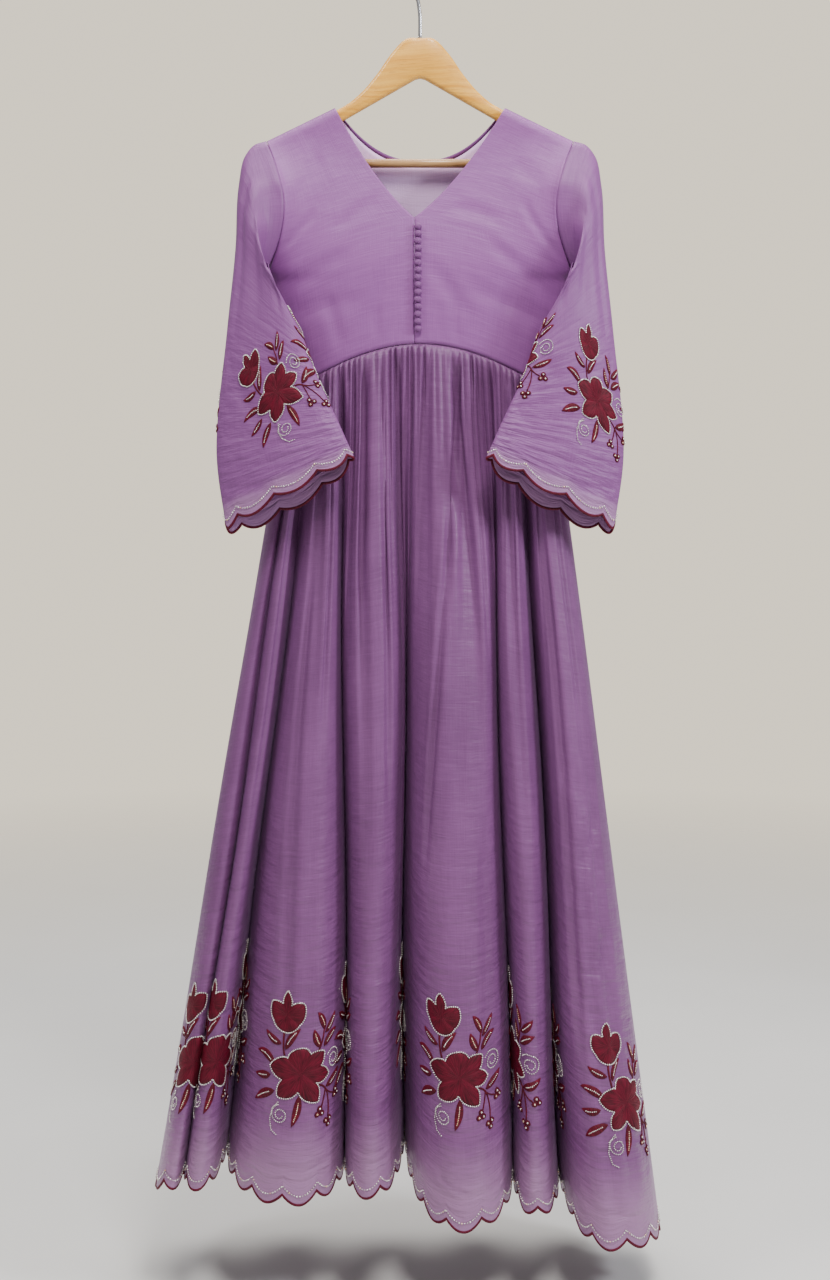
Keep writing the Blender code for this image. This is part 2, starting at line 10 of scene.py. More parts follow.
import bpy
import numpy as np
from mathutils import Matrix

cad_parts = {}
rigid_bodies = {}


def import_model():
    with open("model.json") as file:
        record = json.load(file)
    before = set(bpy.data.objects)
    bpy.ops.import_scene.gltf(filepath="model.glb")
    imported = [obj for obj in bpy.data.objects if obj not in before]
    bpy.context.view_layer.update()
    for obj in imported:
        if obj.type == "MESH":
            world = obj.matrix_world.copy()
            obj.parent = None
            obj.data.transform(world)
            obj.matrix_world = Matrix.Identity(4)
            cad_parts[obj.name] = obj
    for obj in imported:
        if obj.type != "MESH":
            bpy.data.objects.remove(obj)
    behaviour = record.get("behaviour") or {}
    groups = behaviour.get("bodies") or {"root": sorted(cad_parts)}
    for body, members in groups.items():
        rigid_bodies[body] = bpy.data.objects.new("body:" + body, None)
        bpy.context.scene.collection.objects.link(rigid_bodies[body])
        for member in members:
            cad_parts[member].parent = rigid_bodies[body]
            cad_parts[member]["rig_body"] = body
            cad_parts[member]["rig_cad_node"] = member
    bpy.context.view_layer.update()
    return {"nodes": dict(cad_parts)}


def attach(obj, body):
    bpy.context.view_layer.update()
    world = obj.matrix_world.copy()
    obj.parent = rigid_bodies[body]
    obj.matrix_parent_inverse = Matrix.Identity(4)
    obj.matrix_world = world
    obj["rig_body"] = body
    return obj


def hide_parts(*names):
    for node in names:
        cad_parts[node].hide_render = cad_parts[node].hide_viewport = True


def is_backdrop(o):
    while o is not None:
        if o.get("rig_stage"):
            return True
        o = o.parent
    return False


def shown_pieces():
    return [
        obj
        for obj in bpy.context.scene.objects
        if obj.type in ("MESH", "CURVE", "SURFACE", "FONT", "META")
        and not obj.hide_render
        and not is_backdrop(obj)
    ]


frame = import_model()
bpy.ops.object.select_all(action="DESELECT")

# %% [markdown]
# ## Writing shaders as expressions
# A material is a small graph of nodes. Wired by hand it soon becomes hard to read, so one class
# wraps a socket and lets us write `1 - mask` or `mask * 0.3`, each of which adds a Math node.
# A second class holds the material and adds every other kind of node with a single method.


# %% A socket that understands arithmetic
def join(tree, slot, value):
    """Links a wrapped socket to an input, or writes a plain value into it."""
    if isinstance(value, Shade):
        tree.links.new(value.socket, slot)
    else:
        slot.default_value = value


class Shade:
    def __init__(self, tree, socket):
        self.tree = tree
        self.socket = socket

    def math(self, operation, *values):
        node = self.tree.nodes.new("ShaderNodeMath")
        node.operation = operation
        for slot, value in zip(node.inputs, values):
            join(self.tree, slot, value)
        return Shade(self.tree, node.outputs[0])

    def __add__(self, other):
        return self.math("ADD", self, other)

    def __sub__(self, other):
        return self.math("SUBTRACT", self, other)

    def __rsub__(self, other):
        return self.math("SUBTRACT", other, self)

    def __mul__(self, other):
        return self.math("MULTIPLY", self, other)

    def __gt__(self, other):
        return self.math("GREATER_THAN", self, other)

    def within(self, low, high):
        """0 below low, 1 above high, and a ramp between."""
        ramp = (self - low) * (1 / (high - low))
        ramp.socket.node.use_clamp = True
        return ramp

    __radd__ = __add__
    __rmul__ = __mul__


# %% A material that grows node by node
class Finish:
    def __init__(self, name, **constants):
        self.material = bpy.data.materials.new(name)
        self.material.use_nodes = True
        self.tree = self.material.node_tree
        self.shader = self.tree.nodes["Principled BSDF"]
        for socket, value in constants.items():
            self.shader.inputs[socket.replace("_", " ")].default_value = value

    def add(self, kind, settings=None, inputs=None, output=0):
        node = self.tree.nodes.new("ShaderNode" + kind)
        for name, value in (settings or {}).items():
            setattr(node, name, value)
        for name, value in (inputs or {}).items():
            join(self.tree, node.inputs[name], value)
        return Shade(self.tree, node.outputs[output])

    def feed(self, socket, value):
        join(self.tree, self.shader.inputs[socket], value)

    def blend(self, share, one, other):
        """A colour between two others."""
        settings = {"data_type": "RGBA"}
        return self.add("Mix", settings, {0: share, 6: one, 7: other}, 2)

    def noise(self, place, stretch, detail=2.0, roughness=0.5):
        """Noise from 0 to 1, with so many waves a metre along each axis."""
        stretched = self.add("Mapping", None, {"Vector": place, "Scale": stretch})
        inputs = {"Vector": stretched, "Scale": 1.0, "Detail": detail, "Roughness": roughness}
        return self.add("TexNoise", None, inputs, "Fac")

    def bump(self, height, strength, distance):
        inputs = {"Height": height, "Strength": strength, "Distance": distance}
        self.feed("Normal", self.add("Bump", None, inputs, "Normal"))


def colour(red, green, blue):
    return (red, green, blue, 1.0)


# %% [markdown]
# ## The cloth's finish
# The gown is a silk-like organza over a lining. Such cloth shows uneven threads, called slubs,
# that run both ways, a soft sheen on the folds, and fine crinkles where it was embroidered. We
# could paint these on an image, but a pattern made by nodes stays sharp at any distance. It
# reads each piece's own UV map, which is measured in metres of cloth, so that the threads
# follow the folds. Towards the hem the lining ends, and the cloth is paler and lighter there.

# %% The lilac organza
THREAD_WAVES = 1500.0  # threads a metre, as waves of noise
SLUB_WAVES = (22.0, 620.0)  # a slub is long and thin


def organza(name, base, light, crinkle, edge=None, dull=0.62):
    """edge: metres of cloth at the rim, width of its pale band, where crinkles start and peak."""
    made = Finish(name, Roughness=0.5, Sheen_Weight=0.10, Sheen_Roughness=0.3)
    made.shader.inputs["Sheen Tint"].default_value = colour(0.80, 0.55, 0.95)
    made.shader.inputs["Specular IOR Level"].default_value = 0.35
    cloth = made.add("TexCoord", output="UV")
    weft = made.noise(cloth, (SLUB_WAVES[0], SLUB_WAVES[1], 1.0), 2.0, 0.6)
    warp = made.noise(cloth, (SLUB_WAVES[1], SLUB_WAVES[0], 1.0), 2.0, 0.6)
    threads = made.noise(cloth, (THREAD_WAVES, THREAD_WAVES, 1.0), 1.0)
    patches = made.noise(cloth, (9.0, 6.0, 1.0), 3.0, 0.6)
    tone = weft * 0.35 + warp * 0.25 + patches * 0.55 + threads * 0.12
    shade = made.blend(tone.within(0.36, 0.92), colour(*base), colour(*light))
    ripples = made.noise(cloth, (16.0, 85.0, 1.0), 3.0, 0.55)
    dents = made.noise(cloth, (34.0, 30.0, 1.0), 2.0, 0.5)
    amount = crinkle
    if edge is not None:
        rim, band, start, peak = edge
        down = made.add("SeparateXYZ", None, {0: cloth}, 1)
        near = (down + dents * 0.020).within(rim - band * 1.7, rim - band * 0.5)
        pale = [0.66 * part + 0.34 * grey for part, grey in zip(light, (0.62, 0.42, 0.56))]
        shade = made.blend(near * 0.7, shade, colour(*pale))
        amount = crinkle + down.within(start, peak) * 0.8
    made.feed("Base Color", shade)
    made.feed("Roughness", dull - weft * 0.16 - patches * 0.14)
    creases = (ripples * 0.7 + dents * 0.45) * amount
    made.bump(creases * 2.2 + (weft + warp) * 0.07 + threads * 0.03, 0.75, 0.004)
    return made.material


SKIRT_LENGTH, SLEEVE_LENGTH = 1.02, 0.46
bodice_cloth = organza("lilac_organza_bodice", (0.235, 0.072, 0.255), (0.350, 0.122, 0.375), 0.16)
sleeve_cloth = organza(
    "lilac_organza_sleeve", (0.190, 0.058, 0.205), (0.300, 0.108, 0.318), 0.24,
    (SLEEVE_LENGTH, 0.014, 0.20, 0.42),
)
# The skirt's organza is darker than the bodice's: partly because the bodice's lining lightens the
# bodice, and partly painted shade of the skirt's folds and of the sleeves above it.
skirt_cloth_painted_shade = organza(
    "lilac_organza_skirt_painted_shade", (0.130, 0.043, 0.132), (0.258, 0.098, 0.262), 0.18,
    (SKIRT_LENGTH, 0.052, 0.45, 0.85), 0.54,
)
# The lining is a pale cloth, and its colours are paler still: painted light for the light that
# shines through it from behind.
lining_cloth_painted_backlight = organza("pale_lining_painted_backlight", (0.82, 0.50, 0.86), (0.95, 0.66, 0.98), 0.08)
binding_cloth = organza("bias_binding", (0.16, 0.045, 0.18), (0.24, 0.075, 0.26), 0.1)
# The buttons are covered in the bodice's organza; their darker colours are painted shade of the row
# they sit in.
button_cloth_painted_shade = organza("button_organza_painted_shade", (0.185, 0.058, 0.20), (0.29, 0.10, 0.305), 0.1)
print("six finishes of cloth")

# %% [markdown]
# ## The finishes of the flowers
# The flowers are cut from a maroon velvet-like cloth and edged with small silver and pale gold
# beads. Velvet is dark where we look straight at it and lighter at the rim, which is what the
# sheen of the shader does. The beads are glassy and slightly metallic, and noise much larger
# than a bead gives neighbours different tones, as in a hank of real ones.

# %% Velvet, satin cord and beads


def velvet(name, base, light, sheen):
    made = Finish(name, Sheen_Weight=sheen, Sheen_Roughness=0.45)
    made.shader.inputs["Sheen Tint"].default_value = colour(0.9, 0.08, 0.14)
    made.shader.inputs["Specular IOR Level"].default_value = 0.25
    thread = made.add("TexCoord", output="UV")
    stitches = made.noise(thread, (800.0, 55.0, 1.0), 2.0, 0.6)
    brushed = made.noise(thread, (60.0, 45.0, 1.0), 2.0)
    # Lighter base colour along the stitches and the brushed nap is painted sheen.
    sheen_share = (stitches * 0.7 + brushed * 0.5).within(0.45, 0.78)
    made.feed("Base Color", made.blend(sheen_share, colour(*base), colour(*light)))
    made.feed("Roughness", 0.78 - stitches * 0.3)
    made.bump(stitches + brushed * 0.5, 0.7, 0.0009)
    return made.material


def beads_finish(name, base, light, metal):
    made = Finish(name, Coat_Weight=0.6, Coat_Roughness=0.08)
    place = made.add("TexCoord", output="Object")
    hank = made.noise(place, (340.0, 340.0, 340.0), 1.0)
    share = hank.within(0.38, 0.62)
    made.feed("Base Color", made.blend(share, colour(*base), colour(*light)))
    made.feed("Metallic", hank * 0.3 + (metal - 0.15))
    made.feed("Roughness", 0.34 - hank * 0.2)
    return made.material


maroon_velvet = velvet("maroon_velvet", (0.045, 0.0003, 0.006), (0.165, 0.001, 0.020), 0.06)
maroon_cord = velvet("maroon_cord", (0.060, 0.0006, 0.009), (0.135, 0.003, 0.024), 0.05)
silver_beads = beads_finish("silver_beads", (0.60, 0.55, 0.52), (0.95, 0.90, 0.86), 0.5)
gold_beads = beads_finish("gold_beads", (0.70, 0.42, 0.26), (0.95, 0.76, 0.60), 0.45)
print("four finishes of trimming")

# %% [markdown]
# ## Wood and steel
# The hanger is turned and sawn beech under a clear varnish: long streaks of grain run along the
# arms, short dark flecks lie between them, and the varnish adds a second, sharper gloss, which
# is the shader's coat. The hook is polished wire with faint lengthwise scratches.

# %% Varnished wood and polished steel
def varnished_wood(name, dark, light, streak, fleck):
    made = Finish(name, Coat_Weight=0.5, Coat_Roughness=0.16)
    place = made.add("TexCoord", output="Object")
    bend = made.noise(place, (7.0, 7.0, 7.0), 2.0)
    lift = made.add("CombineXYZ", None, {2: bend * 0.03})
    stirred = made.add("VectorMath", {"operation": "ADD"}, {0: place, 1: lift})
    streaks = made.noise(stirred, (9.0, 160.0, 240.0), 4.0, 0.6)
    flecks = made.noise(place, (70.0, 900.0, 900.0), 1.0)
    warmth = made.noise(place, (5.0, 20.0, 20.0), 2.0)
    pale = made.blend(warmth, colour(*dark), colour(*light))
    grain = made.blend(streaks.within(0.38, 0.66), pale, colour(*streak))
    made.feed("Base Color", made.blend((flecks > 0.66) * 0.35, grain, colour(*fleck)))
    made.feed("Roughness", 0.44 - streaks * 0.14)
    made.bump(streaks * 0.4 + flecks * 0.25, 0.25, 0.0006)
    return made.material


BEECH = (0.94, 0.45, 0.055), (1.0, 0.56, 0.09), (0.78, 0.34, 0.03), (0.45, 0.17, 0.03)
DOWEL = (0.50, 0.27, 0.10), (0.62, 0.36, 0.15), (0.40, 0.20, 0.07), (0.24, 0.10, 0.04)
hanger_wood = varnished_wood("varnished_beech", *BEECH)
bar_wood = varnished_wood("varnished_dowel", *DOWEL)

steel = Finish("polished_steel", Metallic=1.0)
place = steel.add("TexCoord", output="Object")
scratches = steel.noise(place, (1500.0, 1500.0, 300.0), 2.0)
steel.feed("Base Color", steel.blend(scratches, colour(0.66, 0.66, 0.67), colour(0.78, 0.78, 0.79)))
steel.feed("Roughness", scratches * 0.12 + 0.2)
steel.bump(scratches, 0.05, 0.0002)
print("wood and steel")

# %% [markdown]
# ## The hanger
# The wood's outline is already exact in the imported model, but its mesh is loose triangles with
# flat shading. We could redraw it; a copy whose doubles are merged, then shaded smooth across
# its rounded edges, keeps the true shape with less to go wrong.


# %% Smooth copies of the hard pieces
def rides_for(piece, material, *nodes):
    """Gives a piece its material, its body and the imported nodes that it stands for."""
    piece.data.materials.clear()
    piece.data.materials.append(material)
    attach(piece, "root")
    if nodes:
        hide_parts(*nodes)
    return piece


def smooth_copy(node, name, angle, material):
    bpy.ops.object.select_all(action="DESELECT")
    frame["nodes"][node].select_set(True)
    bpy.context.view_layer.objects.active = frame["nodes"][node]
    bpy.ops.object.duplicate()
    piece = bpy.context.view_layer.objects.active
    piece.name = name
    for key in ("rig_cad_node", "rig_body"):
        del piece[key]
    bpy.ops.object.mode_set(mode="EDIT")
    bpy.ops.mesh.select_all(action="SELECT")
    bpy.ops.mesh.remove_doubles(threshold=0.00002)
    bpy.ops.object.mode_set(mode="OBJECT")
    bpy.ops.object.shade_smooth_by_angle(angle=math.radians(angle))
    rides_for(piece, material, node)
    piece.select_set(False)


smooth_copy("hanger_body", "wooden_hanger", 35, hanger_wood)
smooth_copy("hanger_bar", "trouser_bar", 40, bar_wood)
smooth_copy("hanger_hook", "steel_hook", 40, steel.material)
print("hanger, bar and hook")

# %% [markdown]
# ## Cloth as a surface we can measure
# Each panel is a grid of points: rows run down the cloth and columns run across it. From the
# grid we get the cloth's normals, its lengths, and any point between the grid's own. That last
# gift matters: flowers, beads and cords are later laid on the same surface, so they bend with
# the folds instead of floating in front of them.


# %% Helpers for a grid of points
def smooth_step(t):
    t = np.clip(t, 0.0, 1.0)
    return t * t * (3.0 - 2.0 * t)


def unit(vectors):
    return vectors / np.linalg.norm(vectors, axis=-1, keepdims=True)


def run_along(path):
    """The distance covered at each point of a path."""
    return np.append(0, np.cumsum(np.linalg.norm(np.diff(path, axis=0), axis=1)))


def grid_normals(grid, wrap):
    if wrap:
        across = np.roll(grid, -1, axis=1) - np.roll(grid, 1, axis=1)
    else:
        across = np.gradient(grid, axis=1)
    normal = np.cross(across, np.gradient(grid, axis=0))
    return normal / np.maximum(np.linalg.norm(normal, axis=2, keepdims=True), 1e-12)


class Cloth:
    """A surface of cloth; `outward` is a direction, or the point that it wraps round."""

    def __init__(self, grid, levels, outward, wrap=False):
        self.grid, self.levels, self.wrap = grid, np.asarray(levels), wrap
        self.outward = outward
        normals = grid_normals(grid, wrap)
        away = grid - grid.mean(axis=1, keepdims=True) if wrap else np.array(outward)
        self.normals = normals * np.sign(np.sum(normals * away, axis=2).mean())
        self.lengths = np.linalg.norm(np.diff(grid, axis=0), axis=2).sum(axis=0)
        around = np.roll(grid, -1, axis=1) - grid if wrap else np.diff(grid, axis=1)
        self.widths = np.linalg.norm(around, axis=2).mean(axis=1)
        down = np.diff(grid, axis=0)
        cells = np.cross(around[:-1], down if wrap else down[:, :-1])
        self.area = float(np.linalg.norm(cells, axis=2).sum())

    def at(self, columns, rows, lift=0.0):
        """Points at fractional columns and rows, raised along the normal."""
        count = self.grid.shape[1]
        columns = columns % count if self.wrap else np.clip(columns, 0, count - 1.0001)
        rows = np.clip(rows, 0, len(self.grid) - 1.0001)
        c, r = np.floor(columns).astype(int), np.floor(rows).astype(int)
        u, v = (columns - c)[..., None], (rows - r)[..., None]
        after = (c + 1) % count
        found = []
        for field in (self.grid, self.normals):
            upper = field[r, c] * (1 - u) + field[r, after] * u
            lower = field[r + 1, c] * (1 - u) + field[r + 1, after] * u
            found.append(upper * (1 - v) + lower * v)
        normal = unit(found[1])
        return found[0] + normal * np.asarray(lift)[..., None], normal

    def rows_at(self, columns, up):
        """The rows that lie so far above the straight hem, in metres of cloth."""
        count = self.grid.shape[1]
        known = np.append(self.lengths, self.lengths[0]) if self.wrap else self.lengths
        place = columns % count if self.wrap else columns
        length = np.interp(place, np.arange(len(known)), known)
        return np.interp(1 - up / length, self.levels, np.arange(len(self.levels)))

    def placed(self, column, up, a, b, lift):
        """Points a across and b up from a spot on the cloth."""
        reach = np.linspace(column - 60, column + 60, 481)
        path, _ = self.at(reach, self.rows_at(reach, up))
        run = run_along(path)
        columns = np.interp(np.interp(column, reach, run) + np.asarray(a), run, reach)
        return self.at(columns, self.rows_at(columns, up + np.asarray(b)), lift)


# %% [markdown]
# ## From a surface to a wall of cloth
# Real cloth has two faces and an edge. A Solidify modifier would do this, but it moves points
# past each other in the sharp recesses of the skirt. We build both faces ourselves, close the
# rims, and write the UV map at the same time, in metres across and metres down.


# %% Building a closed wall
CLOTH = 0.0012


def wall(name, cloth, thickness, uv, material):
    """A closed mesh: the cloth's surface outside, and the same surface pushed in."""
    rows, columns = cloth.grid.shape[:2]
    inner = cloth.grid - cloth.normals * thickness
    cells = columns if cloth.wrap else columns - 1
    r, c = (part.ravel() for part in np.mgrid[0 : rows - 1, 0:cells])
    corner_r, corner_c = np.stack([r, r, r + 1, r + 1], 1), np.stack([c, c + 1, c + 1, c], 1)
    step = rows * columns
    outer_faces = corner_r * columns + corner_c % columns
    sets = [(outer_faces, corner_r, corner_c)]
    sets.append((outer_faces[:, ::-1] + step, corner_r[:, ::-1], corner_c[:, ::-1]))
    edge = np.arange(cells)
    rims = [(np.zeros(cells, int), edge + 1, edge), (np.full(cells, rows - 1), edge, edge + 1)]
    for row, one, other in rims:
        rim_c = np.stack([one, other, other, one], 1)
        rim_r = np.repeat(row[:, None], 4, axis=1)
        layer = np.array([0, 0, step, step])
        sets.append((rim_r * columns + rim_c % columns + layer, rim_r, rim_c))
    if not cloth.wrap:
        side = np.arange(rows - 1)
        for column, one, other in ((0, side, side + 1), (columns - 1, side + 1, side)):
            rim_r = np.stack([one, other, other, one], 1)
            rim_c = np.full_like(rim_r, column)
            layer = np.array([0, 0, step, step])
            sets.append((rim_r * columns + rim_c + layer, rim_r, rim_c))
    faces = np.concatenate([part[0] for part in sets])
    points = np.concatenate([cloth.grid.reshape(-1, 3), inner.reshape(-1, 3)])
    corners = (np.concatenate([part[i] for part in sets]).ravel() for i in (1, 2))
    return close_mesh(name, points, faces, uv(*corners), material)


def close_mesh(name, points, faces, uv, material):
    """A mesh object from arrays, turned outwards, shaded smooth and riding on the frame."""
    corners = points[faces[:, :3]]
    inside_out = np.linalg.det(corners - points.mean(axis=0)).sum() < 0
    if inside_out:
        faces = faces[:, ::-1]
        uv = uv if uv is None else uv.reshape(len(faces), -1, 2)[:, ::-1].reshape(-1, 2)
    mesh = bpy.data.meshes.new(name)
    mesh.from_pydata(points, [], faces.tolist())
    if uv is not None:
        layer = mesh.uv_layers.new(name="cloth")
        layer.data.foreach_set("uv", uv.astype(np.float32).ravel())
    mesh.shade_smooth()
    piece = bpy.data.objects.new(name, mesh)
    bpy.context.scene.collection.objects.link(piece)
    return rides_for(piece, material)


# %% [markdown]
# ## Creases given in a table
# Smooth panels look like plastic. A real gown has soft drag lines, and no two are alike. Each
# crease here is one line of a table: where it starts and ends on the panel, how wide it is and
# how deep. It is pressed in as a trough with a low ridge on each side, which keeps the amount
# of cloth the same.


# %% Pressing creases into a panel
def pressed(grid, outward, size, creases, wrap=False):
    """The grid with troughs: s and v run from 0 to 1 across and down, the rest is in mm."""
    rows, columns = grid.shape[:2]
    v, s = np.meshgrid(np.linspace(0, 1, rows), np.linspace(0, 1, columns), indexing="ij")
    here = np.stack([s * size[0], v * size[1]], axis=2)
    depth = np.zeros((rows, columns))
    for s0, v0, s1, v1, width, deep in creases:
        start = np.array([s0 * size[0], v0 * size[1]])
        line = np.array([s1 * size[0], v1 * size[1]]) - start
        length = np.linalg.norm(line)
        along = (here - start) @ line / length**2
        nearest = start + np.clip(along, 0, 1)[..., None] * line
        away = np.linalg.norm(here - nearest, axis=2) / (width / 1000)
        ends = smooth_step(along / 0.3 + 0.3) * smooth_step((1 - along) / 0.3 + 0.3)
        depth += deep / 1000 * ends * (1 - 1.4 * away**2) * np.exp(-(away**2))
    normals = Cloth(grid, np.linspace(0, 1, rows), outward, wrap).normals
    return grid - normals * depth[..., None]


# %% [markdown]
# ## The bodice's form
# The bodice has two fronts that meet under a row of buttons, and one back. Their outlines are
# a few curves: the sloping shoulder, the scooped armhole, the V of the neck and the arched
# empire seam. A Coons patch fills each panel between its four edges, and one function gives
# how far the cloth stands off the middle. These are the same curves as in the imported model,
# drawn more finely.

# %% The curves of the bodice
NECK_X, TIP_X = 0.104, 0.187
ARM_TOP, ARM_SLOPE, SEAM_LIFT = -0.130, 0.49, 0.0045
FRONT_NECK_Z, FRONT_NECK_BOW = -0.3131, 0.026
BACK_NECK_Z = -0.2391
OPENING_X = -0.0070
UNDERARM_X, UNDERARM_Z, ARMHOLE_SCOOP = 0.187, -0.385, 0.024
WAIST_X, WAIST_FRONT_Z, WAIST_ARCH, WAIST_PERIOD = 0.162, -0.4655, 0.060, 0.33
BACK_WAIST_ARCH = 0.022
SHOULDER_DEPTH, SHOULDER_ROUND = 0.0140, 0.012
CHEST_LOFT, ARMHOLE_LOFT, BACK_SHARE = 0.0255, 0.0235, 0.85
SEAM_GAP = 0.0004
NECK_SPLIT = 8 / 10  # where the V ends, as a share of the armhole's rows


def shoulder_z(x):
    return ARM_TOP + SEAM_LIFT - ARM_SLOPE * np.abs(x)


def waist_z(x):
    return WAIST_FRONT_Z - WAIST_ARCH * (1.0 - np.cos(math.pi * np.asarray(x) / WAIST_PERIOD))


def back_waist_z(x):
    return waist_z(WAIST_X) + BACK_WAIST_ARCH * (1.0 - (np.asarray(x) / WAIST_X) ** 2)


def side_x(z):
    tip_z = shoulder_z(TIP_X)
    down = np.clip((tip_z - z) / (tip_z - UNDERARM_Z), 0.0, 1.0)
    armhole = TIP_X - ARMHOLE_SCOOP * np.sin(math.pi * down)
    below = np.clip((UNDERARM_Z - z) / (UNDERARM_Z - waist_z(WAIST_X)), 0.0, 1.0)
    return armhole - (UNDERARM_X - WAIST_X) * below


def bodice_depth(x, z):
    drop = np.clip((shoulder_z(x) - z) / SHOULDER_ROUND, 0.0, 1.0)
    over_shoulder = np.sqrt(1.0 - (1.0 - drop) ** 2)
    middle = SHOULDER_DEPTH + CHEST_LOFT * smooth_step((-0.19 - z) / 0.20)
    closing = np.clip((-0.30 - z) / (-0.30 - UNDERARM_Z), 0.0, 1.0)
    edge = SHOULDER_DEPTH + ARMHOLE_LOFT * smooth_step((-0.21 - z) / 0.07)
    edge = edge * np.sqrt(1.0 - closing**2)
    across = np.clip(np.abs(x) / side_x(z), 0.0, 1.0)
    return over_shoulder * (edge + (middle - edge) * np.sqrt(1.0 - across**3))


# %% Panels between their edges
UNDERARM_SHARE = float((shoulder_z(TIP_X) - UNDERARM_Z) / (shoulder_z(TIP_X) - waist_z(WAIST_X)))
V_SHARE = UNDERARM_SHARE * (1.0 - math.cos(math.pi * NECK_SPLIT)) / 2.0
PANEL_ROWS = np.concatenate(
    [np.linspace(0, 0.06, 9), np.linspace(0.06, V_SHARE, 34)[1:], np.linspace(V_SHARE, 1, 32)[1:]]
)


def coons_patch(top, bottom, left, right, across, down):
    u, r = across[None, :, None], down[:, None, None]
    top, bottom, left, right = top[None], bottom[None], left[:, None], right[:, None]
    ruled = (1 - r) * top + r * bottom + (1 - u) * left + u * right
    corners = (1 - u) * ((1 - r) * top[:, :1] + r * bottom[:, :1])
    return ruled - corners - u * ((1 - r) * top[:, -1:] + r * bottom[:, -1:])


def side_edge(side, shares):
    z = float(shoulder_z(TIP_X)) * (1 - shares) + float(waist_z(WAIST_X)) * shares
    return np.stack([side * side_x(z), z], axis=1)


def front_edge(side, shares):
    start = np.array([side * NECK_X, float(shoulder_z(NECK_X))])
    point = np.array([OPENING_X + side * SEAM_GAP / 2, FRONT_NECK_Z])
    middle = (start + point) / 2 - np.array([0.0, FRONT_NECK_BOW])
    t = np.clip(shares / V_SHARE, 0.0, 1.0)[:, None]
    neck = (1 - t) ** 2 * start + 2 * t * (1 - t) * middle + t**2 * point
    below = np.clip((shares - V_SHARE) / (1 - V_SHARE), 0.0, 1.0)[:, None]
    foot = np.array([point[0], float(waist_z(point[0]))])
    return neck + (foot - point) * below


def front_grid(side, columns):
    seam_x = side * (NECK_X + (TIP_X - NECK_X) * columns)
    opening = OPENING_X + side * SEAM_GAP / 2
    waist_x = opening + (side * WAIST_X - opening) * columns
    top = np.stack([seam_x, shoulder_z(seam_x)], axis=1)
    bottom = np.stack([waist_x, waist_z(waist_x)], axis=1)
    edges = front_edge(side, PANEL_ROWS), side_edge(side, PANEL_ROWS)
    flat = coons_patch(top, bottom, *edges, columns, PANEL_ROWS)
    x, z = flat[..., 0], flat[..., 1]
    return np.stack([x, -bodice_depth(x, z) - 0.00015, z], axis=2)


def back_grid(rows, shares):
    seam_x = TIP_X * shares
    on_neck = np.clip(np.abs(seam_x) / NECK_X, 0.0, 1.0)
    neck_z = BACK_NECK_Z + (shoulder_z(NECK_X) - BACK_NECK_Z) * on_neck**2.3
    top_z = np.where(np.abs(seam_x) >= NECK_X - 1e-9, shoulder_z(seam_x), neck_z)
    bottom = np.stack([WAIST_X * shares, back_waist_z(WAIST_X * shares)], axis=1)
    top = np.stack([seam_x, top_z], axis=1)
    flat = coons_patch(top, bottom, side_edge(-1, rows), side_edge(1, rows), (shares + 1) / 2, rows)
    x, z = flat[..., 0], flat[..., 1]
    return np.stack([x, BACK_SHARE * bodice_depth(x, z) + 0.00015, z], axis=2)


# %% [markdown]
# ## Sewing the bodice
# Now the creases: faint drag lines from the underarm towards the bust, a few soft diagonals
# under the neckline, and short pulls beside the buttons. On the back they are as soft and as
# uneven, because somebody will look at that side too. Each panel has the size it was cut to,
# which places its creases and measures its cloth coordinates.

# %% Fronts and back
FRONT_CREASES = (
    # s, v at the start, s, v at the end, width mm, depth mm
    (0.95, 0.70, 0.45, 0.62, 11, 1.5),
    (0.90, 0.78, 0.35, 0.80, 13, 1.3),
    (0.97, 0.55, 0.70, 0.38, 10, 1.2),
    (0.15, 0.45, 0.55, 0.50, 14, 1.0),
    (0.08, 0.70, 0.38, 0.90, 12, 1.2),
    (0.55, 0.97, 0.62, 0.74, 10, 1.1),
    (0.30, 0.97, 0.26, 0.84, 8, 0.9),
    (0.82, 0.99, 0.86, 0.83, 9, 1.1),
    (0.45, 0.20, 0.85, 0.28, 14, 0.9),
)
BACK_CREASES = (
    # negative depths are soft ridges, because the lining lies close inside
    (0.06, 0.66, 0.34, 0.58, 12, -1.3),
    (0.94, 0.70, 0.62, 0.62, 12, -1.4),
    (0.10, 0.84, 0.42, 0.88, 13, -1.2),
    (0.88, 0.86, 0.60, 0.83, 11, -1.1),
    (0.46, 0.30, 0.42, 0.62, 15, -1.0),
    (0.60, 0.42, 0.66, 0.78, 14, -0.9),
    (0.28, 0.98, 0.30, 0.80, 9, -1.0),
    (0.75, 0.98, 0.72, 0.84, 9, -1.1),
)
FORWARD = np.array([0.0, -1.0, 0.0])
FRONT_SIZE, BACK_SIZE = (0.165, 0.29), (0.34, 0.29)  # width and length of cloth


def metric_uv(width, length, rows, columns):
    """Cloth coordinates of a panel, in metres, from its rows and columns."""
    return lambda r, c: np.stack([c / (columns - 1) * width, np.asarray(rows)[r] * length], axis=1)


front_columns = np.linspace(0, 1, 58)
for side, name in ((-1, "bodice_front_right"), (1, "bodice_front_left")):
    shift = 0.02 * side
    creases = [(s0, v0 + shift, s1, v1 - shift, w, d) for s0, v0, s1, v1, w, d in FRONT_CREASES]
    grid = pressed(front_grid(side, front_columns), FORWARD, FRONT_SIZE, creases)
    panel = Cloth(grid, PANEL_ROWS, FORWARD)
    uv = metric_uv(*FRONT_SIZE, PANEL_ROWS, len(front_columns))
    piece = wall(name + "_organza", panel, CLOTH, uv, bodice_cloth)
    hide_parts(name)

